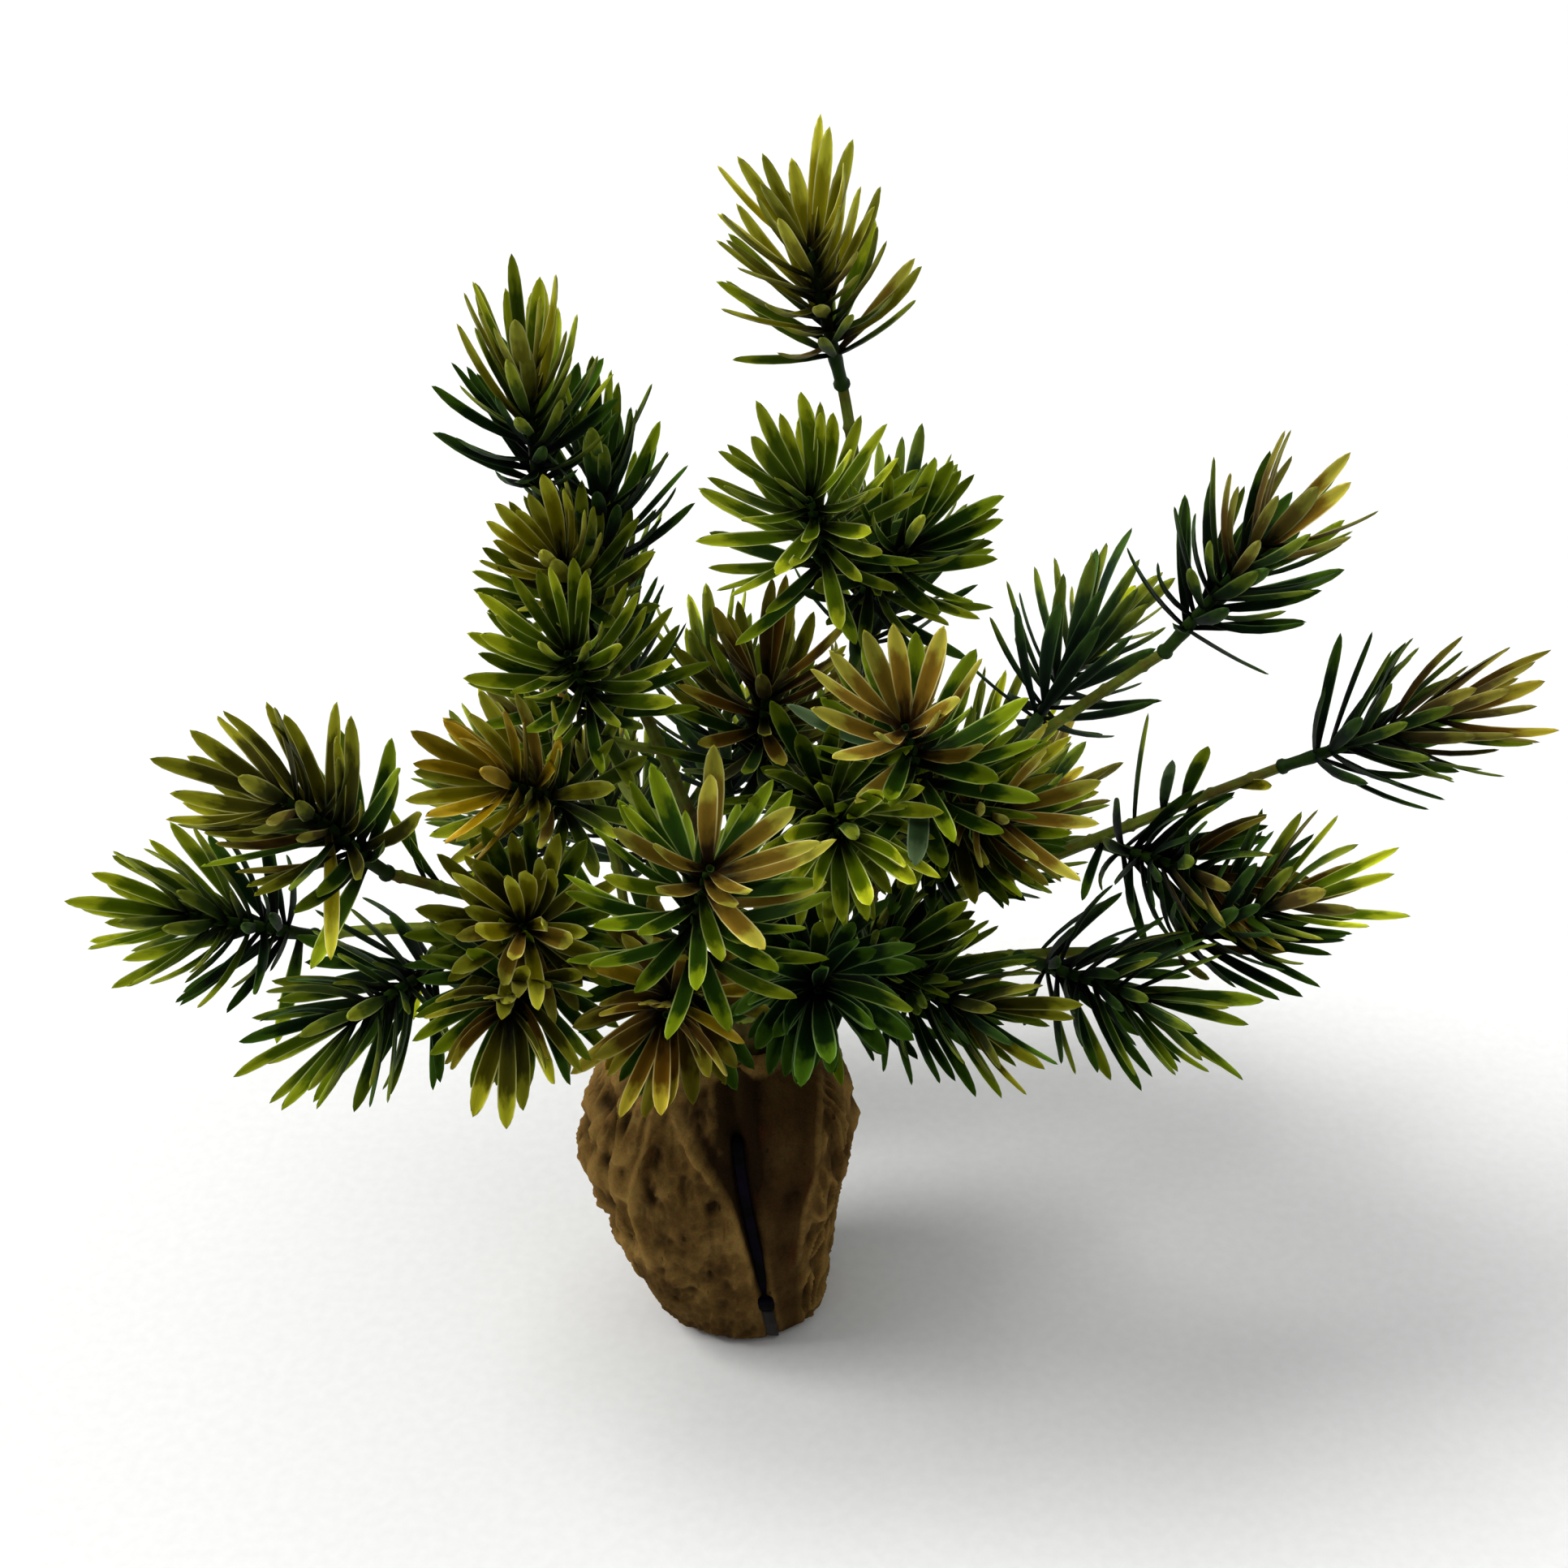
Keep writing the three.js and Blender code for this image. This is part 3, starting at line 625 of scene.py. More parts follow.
def glossy_strip_plastic(name, colour, sheen, roughness):
    """Extruded nylon strap. Glossy and nearly even, with a faint sheen painted on in patches."""
    material, add, surface = new_material(name, IOR=1.53, Roughness=roughness, Specular_IOR_Level=0.012)
    place = add("TexCoord").outputs["Object"]
    painted_sheen_patches = add("TexNoise", {"Vector": place, "Scale": 1 / (9 * MM), "Detail": 2.0})
    painted_sheen_mixed = add("ValToRGB", {"Fac": painted_sheen_patches}, stops=[(0.4, colour), (0.65, sheen)])
    feed(surface, {"Base Color": painted_sheen_mixed})
    return material


def matte_paper_floor(name):
    """Seamless studio paper. Matte and nearly white, so the plant stands clear of it."""
    material, add, surface = new_material(name, Roughness=0.9)
    place = add("TexCoord").outputs["Object"]
    fibres = add("TexNoise", {"Vector": place, "Scale": 1 / (4 * MM), "Detail": 2.0})
    tone = add("ValToRGB", {"Fac": fibres}, stops=[(0.3, "#f0f0ee"), (0.7, "#f4f4f2")])
    feed(surface, {"Base Color": tone})
    return material


LEAF_MATERIALS = {
    tint: soft_moulded_leaf(f"moulded_leaf_{tint}", *colours) for tint, colours in LEAF_TINTS.items()
}
STEM_MATERIAL = ribbed_moulded_stem("ribbed_stem_plastic", "#828c30", "#5c651f", "#4a3a17")
# The collars are green like the real sleeves but darker, as painted shade inside the crown.
SHADED_COLLAR_MATERIAL = ribbed_moulded_stem("collar_plastic", "#334b16", "#1d3110", "#191b09")
BARK_MATERIAL = ribbed_moulded_stem("trunk_bark_plastic", "#5d4f26", "#3f3519", "#2c2010")
ROCK_MATERIAL = cast_resin_sandstone("cast_resin_sandstone")
STRIP_MATERIAL = glossy_strip_plastic("black_nylon_strip", "#010101", "#0a0512", 0.4)
TAIL_MATERIAL = glossy_strip_plastic("smoky_strip_tail", "#24211f", "#302c2a", 0.35)
FLOOR_MATERIAL = matte_paper_floor("seamless_paper")


# GEOMETRY TREES


def new_tree(name, **sockets):
    """A geometry tree with named inputs by their kind, and what it is given through them."""
    tree = bpy.data.node_groups.new(name, "GeometryNodeTree")
    for kind, names in sockets.items():
        for socket in names:
            tree.interface.new_socket(socket, in_out="INPUT", socket_type="NodeSocket" + kind)
    tree.interface.new_socket("Mesh", in_out="OUTPUT", socket_type="NodeSocketGeometry")
    add = partial(put, tree)
    given = {socket.name: socket for socket in add("GroupInput").outputs}
    return tree, add, given


def grown(tree, points, values):
    """What a tree makes of a line through points in millimetres, as a plain mesh."""
    line = bpy.data.meshes.new("growth_line")
    line.from_pydata([Vector(p) * MM for p in points], [(i, i + 1) for i in range(len(points) - 1)], [])
    holder = placed(tree.name, line)
    modifier = holder.modifiers.new(tree.name, "NODES")
    modifier.node_group = tree
    for item in tree.interface.items_tree:
        if item.in_out == "INPUT" and item.name in values:
            modifier[item.identifier] = values[item.name]
    evaluated = holder.evaluated_get(bpy.context.evaluated_depsgraph_get())
    made = bpy.data.meshes.new_from_object(evaluated)
    bpy.data.objects.remove(holder)
    return made


def sprig_tree():
    """Leaves in whorls along a sprig's axis, wide at its foot and closing up towards its tip."""
    wobbles = [f"{what} Wobble" for what in ("Spread", "Turn", "Roll", "Length", "Width", "Tint")]
    tree, add, given = new_tree(
        "sprig_of_leaves",
        Geometry=["Axis"],
        Collection=["Leaf Shapes"],
        Int=[
            "Last Shape", "Whorls", "Leaves Per Whorl", "Thins From", "Middle From", "Upper From", "Order"
        ],
        Float=[
            "Last Whorl", "Whorl Turn", "Spread", "Close", "Spread Fall", "Breadth", "Root Out",
            "Odd Share", "Foot Light", *wobbles
        ],
        Material=["Lower", "Middle", "Upper", "Odd"],
    )
    number = add("InputIndex")
    per = given["Leaves Per Whorl"]
    exact = add("Math", number, per, operation="DIVIDE")
    whorl = add("Math", exact, operation="FLOOR")
    place = add("Math", number, per, operation="MODULO")
    past = add("Math", whorl, given["Thins From"], operation="SUBTRACT")
    half_past = add("Math", past, 0.5, operation="MULTIPLY")
    fewer = add("Math", half_past, operation="CEIL")
    missing = add("Math", fewer, 0.0, operation="MAXIMUM")
    here = add("Math", per, missing, operation="SUBTRACT")
    last = add("Math", given["Whorls"], 1.0, operation="SUBTRACT")
    share = add("Math", whorl, last, operation="DIVIDE")

    # Each wobble, the odd leaves, the shade and the shape draw from a seed of their own.
    random = {}
    for step, name in enumerate(wobbles):
        seed = add("Math", given["Order"], 100.0 * (step + 1), operation="ADD")
        low = add("Math", given[name], -1.0, operation="MULTIPLY")
        random[name] = add("RandomValue", {"Min": low, "Max": given[name], "ID": number, "Seed": seed})
    for step, name in enumerate(("odd", "shade")):
        seed = add("Math", given["Order"], 700.0 + 100 * step, operation="ADD")
        random[name] = add("RandomValue", {"ID": number, "Seed": seed})
    seed = add("Math", given["Order"], 900.0, operation="ADD")
    shape = add(
        "RandomValue", {"Min": 0, "Max": given["Last Shape"], "ID": number, "Seed": seed}, data_type="INT"
    )

    axis = add("MeshToCurve", given["Axis"])
    reach = add("Math", share, given["Last Whorl"], operation="MULTIPLY")
    sample = add("SampleCurve", {"Curves": axis, "Factor": reach}, mode="FACTOR", use_all_curves=True)
    tangent = sample.outputs["Tangent"]
    later = add("Math", share, given["Spread Fall"], operation="POWER")
    opening = add("Mix", {"Factor": later, "A": given["Spread"], "B": given["Close"]})
    splay = add("Math", opening, random["Spread Wobble"], operation="ADD")
    round_share = add("Math", place, here, operation="DIVIDE")
    turned = add("Math", whorl, given["Whorl Turn"], random["Turn Wobble"], operation="MULTIPLY_ADD")
    turn = add("Math", round_share, TAU, turned, operation="MULTIPLY_ADD")

    level = add("VectorMath", (0, 0, 1), tangent, operation="CROSS_PRODUCT")
    sideways = add("VectorMath", level, operation="NORMALIZE")
    outward = add(
        "VectorRotate", {"Vector": sideways, "Axis": tangent, "Angle": turn}, rotation_type="AXIS_ANGLE"
    )
    broad = add("VectorMath", tangent, outward, operation="CROSS_PRODUCT")
    blade = add(
        "VectorRotate", {"Vector": tangent, "Axis": broad, "Angle": splay}, rotation_type="AXIS_ANGLE"
    )
    facing = add(
        "AxesToRotation",
        {"Primary Axis": blade, "Secondary Axis": broad},
        primary_axis="X",
        secondary_axis="Y",
    )
    roll = add("AxisAngleToRotation", {"Axis": (1, 0, 0), "Angle": random["Roll Wobble"]})
    rolled = add("RotateRotation", {"Rotation": facing, "Rotate By": roll}, rotation_space="LOCAL")
    longer = add("Math", random["Length Wobble"], 1.0, operation="ADD")
    wider = add("Math", random["Width Wobble"], given["Breadth"], operation="ADD")
    size = add("CombineXYZ", {"X": longer, "Y": wider, "Z": 1.0})
    out = add("VectorMath", {0: outward, "Scale": given["Root Out"]}, operation="SCALE")
    root = add("VectorMath", sample.outputs["Position"], out, operation="ADD")

    total = add("Math", given["Whorls"], per, operation="MULTIPLY")
    points = add("Points", {"Count": total, "Position": root})
    tier = add("Math", whorl, random["Tint Wobble"], operation="ADD")
    is_middle = add("Compare", {"A": tier, "B": given["Middle From"]}, operation="GREATER_EQUAL")
    is_upper = add("Compare", {"A": tier, "B": given["Upper From"]}, operation="GREATER_EQUAL")
    is_odd = add("Compare", {"A": random["odd"], "B": given["Odd Share"]}, operation="LESS_THAN")
    tint = add("Math", is_middle, is_upper, operation="ADD")
    tint = add("Mix", {"Factor": is_odd, "A": tint, "B": 3.0})
    # Lower whorls are darker, as painted shade deep in the sprig, on top of each leaf's random shade.
    painted_height_shade = add("MapRange", {"Value": share, "To Min": given["Foot Light"], "To Max": 1.0})
    shade = add("Math", random["shade"], painted_height_shade, operation="MULTIPLY")
    for name, value in (("tint", tint), ("shade", shade)):
        points = add(
            "StoreNamedAttribute",
            {"Geometry": points, "Name": name, "Value": value},
            data_type="FLOAT",
            domain="POINT",
        )
    shapes = add(
        "CollectionInfo",
        {"Collection": given["Leaf Shapes"], "Separate Children": True, "Reset Children": True},
    )
    stands = add("Compare", {"A": place, "B": here}, operation="LESS_THAN")
    leaves = add(
        "InstanceOnPoints",
        {
            "Points": points,
            "Selection": stands,
            "Instance": shapes,
            "Pick Instance": True,
            "Instance Index": shape,
            "Rotation": rolled,
            "Scale": size,
        },
    )
    mesh = add("RealizeInstances", {"Geometry": leaves})
    stored = add("InputNamedAttribute", {"Name": "tint"}, data_type="FLOAT")
    for value, name in enumerate(("Lower", "Middle", "Upper", "Odd")):
        dyed = add("Compare", {"A": stored, "B": float(value), "Epsilon": 0.1}, operation="EQUAL")
        mesh = add("SetMaterial", {"Geometry": mesh, "Selection": dyed, "Material": given[name]})
    add("GroupOutput", mesh)
    return tree


def stem_tree():
    """A ribbed stem along a line, tapering, with low knots where leaves once stood."""
    tree, add, given = new_tree(
        "ribbed_stem",
        Geometry=["Axis"],
        Int=["Ribs", "Sides"],
        Float=["Root Radius", "Tip Radius", "Rib Depth", "Knot Every", "Knot Rise", "Step"],
        Material=["Finish"],
    )
    line = add("MeshToCurve", given["Axis"])
    line = add("ResampleCurve", {"Curve": line, "Length": given["Step"]}, mode="LENGTH")
    spline = add("SplineParameter")
    taper = add(
        "Mix", {"Factor": spline.outputs["Factor"], "A": given["Root Radius"], "B": given["Tip Radius"]}
    )
    paces = add("Math", spline.outputs["Length"], given["Knot Every"], operation="DIVIDE")
    wave_turn = add("Math", paces, TAU, operation="MULTIPLY")
    wave = add("Math", wave_turn, operation="COSINE")
    crest = add("Math", wave, 0.0, operation="MAXIMUM")
    sharp = add("Math", crest, 14.0, operation="POWER")
    raised = add("Math", sharp, given["Knot Rise"], 1.0, operation="MULTIPLY_ADD")
    radius = add("Math", taper, raised, operation="MULTIPLY")
    circle = add("CurvePrimitiveCircle", {"Resolution": given["Sides"], "Radius": 1.0})
    side = add("InputIndex")
    side_share = add("Math", side, given["Sides"], operation="DIVIDE")
    side_turn = add("Math", side_share, TAU, operation="MULTIPLY")
    rib_turn = add("Math", side_turn, given["Ribs"], operation="MULTIPLY")
    rib = add("Math", rib_turn, operation="COSINE")
    ribbed = add("Math", rib, given["Rib Depth"], 1.0, operation="MULTIPLY_ADD")
    spot = add("InputPosition")
    pushed = add("VectorMath", {0: spot, "Scale": ribbed}, operation="SCALE")
    profile = add("SetPosition", {"Geometry": circle, "Position": pushed})
    mesh = add("CurveToMesh", {"Curve": line, "Profile Curve": profile, "Scale": radius, "Fill Caps": True})
    mesh = add("SetShadeSmooth", {"Geometry": mesh, "Shade Smooth": True})
    mesh = add("RealizeInstances", {"Geometry": mesh})
    mesh = add("SetMaterial", {"Geometry": mesh, "Material": given["Finish"]})
    add("GroupOutput", mesh)
    return tree


# LEAVES

# Stations along a leaf: share of its length, of its width and of its thickness.
LEAF_STATIONS = (
    (0.0, 0.42, 0.9),
    (0.12, 0.54, 1.0),
    (0.28, 0.8, 1.0),
    (0.45, 0.96, 1.0),
    (0.62, 1.0, 1.0),
    (0.78, 0.93, 0.9),
    (0.89, 0.71, 0.8),
    (0.96, 0.38, 0.6),
    (1.0, 0.0, 0.0),
)
# Points across a leaf: share of its width and of its thickness, and place on its map, where 1 to 2 is its
# back.
LEAF_SECTION = (
    (-0.5, 0.55, 0.0),
    (-0.27, 0.16, 0.25),
    (0.0, -0.06, 0.5),
    (0.27, 0.16, 0.75),
    (0.5, 0.55, 1.0),
    (0.0, -0.64, 1.5),
)
# Leaf shapes: how far each bends in towards the axis, twists and sweeps aside, in degrees.
LEAF_SHAPES = ((14, 0, 2), (22, 6, -3), (30, -5, 4), (18, 10, -2), (38, 4, 3), (8, -8, -4))


def leaf_mesh(bend, twist, sweep, tint="green"):
    """One leaf along +X with its face up, bent up towards its tip."""
    bend = math.radians(bend)
    spots = []
    x = z = 0.0
    before = 0.0
    for u, wide, thick in LEAF_STATIONS:
        rise = bend * ((u + before) / 2 - 0.5)
        x += (u - before) * math.cos(rise) * LEAF_LENGTH
        z += (u - before) * math.sin(rise) * LEAF_LENGTH
        before = u
        centre = Vector((x, math.radians(sweep) * u * u * LEAF_LENGTH * 0.5, z))
        if wide == 0:
            spots.append(centre)
            continue
        here = bend * (u - 0.5)
        up = Vector((-math.sin(here), 0, math.cos(here)))
        turn = math.radians(twist) * u
        across = Vector((0, math.cos(turn), 0)) + up * math.sin(turn)
        normal = up * math.cos(turn) - Vector((0, math.sin(turn), 0))
        for share, depth, _ in LEAF_SECTION:
            aside = across * share * wide * LEAF_WIDTH
            spots.append(centre + aside + normal * depth * thick * LEAF_THICKNESS)
    ring = len(LEAF_SECTION)
    tip = len(spots) - 1
    lanes = [(k, k + 1, LEAF_SECTION[k][2], LEAF_SECTION[k + 1][2]) for k in range(4)]
    lanes += [(4, 5, 2.0, 1.5), (5, 0, 1.5, 1.0)]
    faces = []
    maps = []
    rims = set()
    for row, (u, _, _) in enumerate(LEAF_STATIONS[:-1]):
        v = LEAF_STATIONS[row + 1][0]
        a = row * ring
        for left, right, low, high in lanes:
            if a + ring < tip:
                faces.append((a + left, a + ring + left, a + ring + right, a + right))
                maps.append(((u, low), (v, low), (v, high), (u, high)))
                rims |= {(a, a + ring), (a + 4, a + ring + 4)}
            else:
                faces.append((a + left, tip, a + right))
                maps.append(((u, low), (v, (low + high) / 2), (u, high)))
    faces.append(tuple(range(ring)))
    maps.append(tuple((0.0, place) for _, _, place in LEAF_SECTION))
    mesh = smooth_mesh("leaf", spots, faces, LEAF_MATERIALS[tint])
    layer = mesh.uv_layers.new(name="leaf")
    layer.data.foreach_set("uv", [value for face in maps for uv in face for value in uv])
    sharp = mesh.attributes.new("sharp_edge", "BOOLEAN", "EDGE")
    sharp.data.foreach_set("value", [tuple(sorted(edge.vertices)) in rims for edge in mesh.edges])
    return mesh


def joined(name, meshes):
    """One object from several plain meshes."""
    parts = [placed(name if i == 0 else f"{name}_{i}", mesh) for i, mesh in enumerate(meshes)]
    with bpy.context.temp_override(active_object=parts[0], selected_editable_objects=parts):
        bpy.ops.object.join()
    return parts[0]


def bake_cells(piece):
    """Lays every leaf of a tint and shade on one cell of a map, where they all look alike."""
    mesh = piece.data
    target = mesh.uv_layers.new(name="OFBake")
    source = mesh.uv_layers["leaf"]
    shades = mesh.attributes["shade"].data
    names = list(LEAF_TINTS)
    rows = [names.index(m.name.removeprefix("moulded_leaf_")) for m in mesh.materials]
    inside = 1 - 2 * CELL_MARGIN
    for face in mesh.polygons:
        row = rows[face.material_index]
        for corner in face.loop_indices:
            column = min(SHADES - 1, int(shades[mesh.loops[corner].vertex_index].value * SHADES))
            u, v = source.data[corner].uv
            target.data[corner].uv = (
                (column + CELL_MARGIN + u * inside) / SHADES,
                (row + CELL_MARGIN + v / 2 * inside) / len(names),
            )


LEAF_VALUES = {
    "Last Shape": len(LEAF_SHAPES) - 1,
    "Whorls": WHORLS,
    "Leaves Per Whorl": LEAVES_PER_WHORL,
    "Thins From": 4,
    "Last Whorl": LAST_WHORL,
    "Whorl Turn": math.radians(WHORL_TURN),
    "Spread Fall": SPREAD_FALL,
    "Spread Wobble": math.radians(10),
    "Turn Wobble": math.radians(8),
    "Roll Wobble": math.radians(22),
    "Length Wobble": 0.07,
    "Width Wobble": 0.2,
    "Root Out": 0.7 * MM,
    "Odd Share": 0.1,
    # How bright the lowest whorl is, as painted shade.
    "Foot Light": 0.35,
    "Tint Wobble": 1.6,
    "Middle From": 2,
    "Upper From": 5,
}


def stray_foot(stem, share):
    """The place of a single leaf: on its stem or, past a share of one, on the collar or axis at its end."""
    if share <= 1:
        return bezier_point(*stem_ends(stem), share)
    sprig = last_sprig(stem)
    climbed = (share - 1) * STRAY_REACH
    if climbed <= COLLAR:
        return collar_foot(sprig) + sprig_way(sprig) * climbed
    axis = sprig_axis(sprig)
    return axis[min(len(axis) - 1, round((climbed - COLLAR) / AXIS * (len(axis) - 1)))]


def stray_leaf(stem, share, way, length, width, turn, shape, tint):
    """A single leaf with its root on a stem, its face towards the viewer before it is turned."""
    foot = stray_foot(stem, share)
    along = Vector(way).normalized()
    towards = Vector(TOWARDS_VIEWER)
    face = (towards - along * towards.dot(along)).normalized()
    face = Quaternion(along, math.radians(turn)) @ face
    across = face.cross(along)
    mesh = leaf_mesh(*LEAF_SHAPES[shape], tint)
    for vertex in mesh.vertices:
        x, y, z = vertex.co
        vertex.co = foot * MM + along * x * length + across * y * width + face * z
    add_values(mesh, "shade", [share] * len(mesh.vertices))
    return mesh


def make_leaves():
    """The leaves of all sprigs and the single ones, as one piece for each slot."""
    shapes = bpy.data.collections.new("leaf_shapes")
    bpy.context.scene.collection.children.link(shapes)
    for i, shape in enumerate(LEAF_SHAPES):
        shapes.objects.link(bpy.data.objects.new(f"leaf_{i}", leaf_mesh(*shape)))
    tree = sprig_tree()
    groups = {}
    order = 0
    for stem, sprigs in SPRIGS.items():
        for name, sprig in sprigs.items():
            values = {
                **LEAF_VALUES,
                "Leaf Shapes": shapes,
                "Spread": math.radians(sprig.spread),
                "Close": math.radians(sprig.close),
                "Breadth": BREADTHS.get(stem, 1.0),
                "Order": order,
            }
            for part in ("lower", "middle", "upper", "odd"):
                values[part.title()] = LEAF_MATERIALS[getattr(sprig, part)]
            groups.setdefault(sprig.slot, []).append((name, grown(tree, sprig_axis(sprig), values)))
            order += 1
    for shape in list(shapes.objects):
        bpy.data.objects.remove(shape)
    bpy.data.collections.remove(shapes)
    for slot, made in groups.items():
        strays = [stray_leaf(*row) for row in STRAY_LEAVES] if slot == "green" else []
        piece = joined(f"leaves_{slot}", [mesh for _, mesh in made] + strays)
        bake_cells(piece)
        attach(piece, "root")
        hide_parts(*[f"foliage_{name}" for name, _ in made])


# STEMS, COLLARS AND TRUNK


def swept(name, finish, points, sections, sides, relief=None):
    """A closed tube along points. Sections are shares of its way and radii, which may turn inwards."""
    lengths = [0.0]
    for a, b in zip(points, points[1:]):
        lengths.append(lengths[-1] + (b - a).length)
    spots = []
    normal = None
    for share, radius in sections:
        reach = min(max(share, 0.0), 1.0) * lengths[-1]
        i = next((k for k in range(1, len(lengths)) if lengths[k] >= reach), len(lengths) - 1)
        part = (reach - lengths[i - 1]) / (lengths[i] - lengths[i - 1])
        ahead = (points[i] - points[i - 1]).normalized()
        after = (points[min(i + 1, len(points) - 1)] - points[min(i, len(points) - 2)]).normalized()
        tangent = ahead.lerp(after, part).normalized()
        centre = points[i - 1].lerp(points[i], part)
        if normal is None:
            normal = tangent.orthogonal().normalized()
        normal = (normal - tangent * normal.dot(tangent)).normalized()
        other = tangent.cross(normal)
        for k in range(sides):
            turn = TAU * k / sides
            raised = radius * (1 + (relief(turn, reach) if relief else 0))
            spots.append(centre + (normal * math.cos(turn) + other * math.sin(turn)) * raised)
    return smooth_mesh(name, spots, tube_faces(len(sections), sides), finish)


STEM_VALUES = {
    "Ribs": 5,
    "Rib Depth": 0.1,
    "Knot Every": 13 * MM,
    "Knot Rise": 0.28,
    "Step": 0.8 * MM,
    "Sides": 20,
    "Finish": STEM_MATERIAL,
}


def make_stems():
    """The stems and the necks that branch off them to their sprigs, as one piece."""
    tree = stem_tree()
    stem_values = {**STEM_VALUES, "Root Radius": STEM_RADII[0] * MM, "Tip Radius": STEM_RADII[1] * MM}
    neck_values = {**STEM_VALUES, "Root Radius": NECK_RADII[0] * MM, "Tip Radius": NECK_RADII[1] * MM}
    stems = []
    necks = []
    for name in STEMS:
        ends = stem_ends(name)
        stems.append(grown(tree, bezier(*ends, steps=40), stem_values))
        for sprig in SPRIGS[name].values():
            if sprig.share == 1:
                continue
            start = bezier_point(*ends, sprig.share)
            foot = collar_foot(sprig)
            turn = foot - sprig_way(sprig) * ((foot - start).length / 2)
            necks.append(grown(tree, bezier(start, turn, foot, steps=24), neck_values))
    piece = joined("stems", stems + necks)
    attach(piece, "root")
    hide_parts(*[f"stem_{name}" for name in STEMS])


# A sprig's collar and axis from its foot: distance in millimetres and radius. The last rows turn back into
# the open end of the tube.
CORE_PROFILE = (
    (-0.6, 2.1),
    (0.0, 2.45),
    (1.0, 2.45),
    (1.6, 2.05),
    (2.6, 1.85),
    (7.0, 1.9),
    (10.5, 2.15),
    (12.5, 2.0),
    (16.0, 1.75),
    (30.0, 1.6),
    (47.5, 1.35),
    (49.9, 1.3),
    (50.4, 1.1),
    (50.2, 0.75),
    (48.2, 0.6),
)


def make_collars():
    """The sleeve that is pushed onto a stem, and the hollow axis that carries a sprig's leaves."""
    back = -CORE_PROFILE[0][0]
    length = back + COLLAR + AXIS
    sections = [((reach + back) / length, radius) for reach, radius in CORE_PROFILE]
    cores = []
    for sprigs in SPRIGS.values():
        for name, sprig in sprigs.items():
            foot = collar_foot(sprig)
            points = [foot - sprig_way(sprig) * back, foot] + sprig_axis(sprig)
            cores.append(swept(f"core_{name}", SHADED_COLLAR_MATERIAL, points, sections, sides=14))
    piece = joined("sprig_collars", cores)
    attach(piece, "root")


def bark(turn, reach):
    """Share by which the trunk's bark stands out: twisted strands and a fine grain."""
    strands = math.cos(6 * turn + reach / 7) * 0.07 + math.cos(11 * turn - reach / 5) * 0.035
    grain = noise.noise(Vector((math.cos(turn) * 4, math.sin(turn) * 4, reach / 4))) * 0.08
    return strands + grain


def make_trunk():
    """The trunk under its bark, from the socket in the base to the highest stem."""
    rows = 64
    sections = [(i / rows, mix(*TRUNK_RADII, i / rows)) for i in range(rows + 1)] + [(1, TRUNK_END)]
    points = bezier(*TRUNK, steps=30)
    mesh = swept("trunk_bark", BARK_MATERIAL, points, sections, sides=60, relief=bark)
    piece = placed("trunk_bark", mesh)
    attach(piece, "root")
    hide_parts("trunk")


# BASE


def smooth(value):
    """Zero below zero and one above one, with a soft rise between them."""
    value = min(max(value, 0.0), 1.0)
    return value * value * (3 - 2 * value)


def base_row(z):
    """The base's limits at a height, on a smooth curve through the rows of its outline."""
    rows = BASE_OUTLINE
    i = next((k for k in range(1, len(rows)) if rows[k][0] >= z), len(rows) - 1)
    low, high = rows[i - 1], rows[i]
    gap = high[0] - low[0]
    t = (z - low[0]) / gap
    below = rows[max(0, i - 2)]
    above = rows[min(len(rows) - 1, i + 1)]
    limits = []
    for k in range(1, 5):
        leave = (high[k] - below[k]) / (high[0] - below[0]) * gap
        come = (above[k] - low[k]) / (above[0] - low[0]) * gap
        limits.append(
            low[k] * (2 * t**3 - 3 * t**2 + 1)
            + leave * (t**3 - 2 * t**2 + t)
            + high[k] * (3 * t**2 - 2 * t**3)
            + come * (t**3 - t**2)
        )
    return limits


def base_forms(point):
    """How far the main forms lift or sink the skin of the base at a point on it."""
    rise = 0.0
    for x, y, z, half_width, half_height, height in BASE_FORMS:
        sideways = math.hypot(point.x - x, point.y - y) / half_width
        upright = (point.z - z) / half_height
        rise += height * math.exp(-(sideways**2) - upright**2)
    return rise


def base_point(z, turn):
    """A point on the formed skin of the base, at a height and a turn from the right-hand side."""
    left, right, front, back = base_row(z)
    lobes = 0.6 * math.sin(3 * turn + z / 24) + 0.4 * math.sin(7 * turn - z / 13)
    relief = 1 + BASE_RELIEF * lobes
    power = 2 / BASE_SQUARENESS
    across = math.copysign(abs(math.cos(turn)) ** power, math.cos(turn)) * relief
    along = math.copysign(abs(math.sin(turn)) ** power, math.sin(turn)) * relief
    middle = (left + right) / 2
    x = middle + (right - left) / 2 * across
    y = -front * along if along < 0 else back * along
    point = Vector((x, y, z))
    outward = Vector((x - middle, y, 0)).normalized()
    return point + outward * base_forms(point)


def base_front(x, z):
    """The front of the base at a sideways place and a height, found by halving."""
    near, far = math.pi, TAU
    for _ in range(30):
        middle = (near + far) / 2
        if base_point(z, middle).x < x:
            near = middle
        else:
            far = middle
    return base_point(z, near).y


def line_at(name, z):
    """The sideways place of a line on the front of the base at a height."""
    rows = FRONT_LINES[name]
    if z <= rows[0][1]:
        return rows[0][0]
    for low, high in zip(rows, rows[1:]):
        if z <= high[1]:
            return mix(low[0], high[0], (z - low[1]) / (high[1] - low[1]))
    return rows[-1][0]


def fade(z, low, high, soft):
    """One between two heights, falling to nothing over a soft stretch beyond them."""
    return smooth((z - low + soft) / soft) * smooth((high + soft - z) / soft)


def ridge(distance, width):
    """One on a line, falling to nothing on both sides of it."""
    return math.exp(-((distance / width) ** 2))


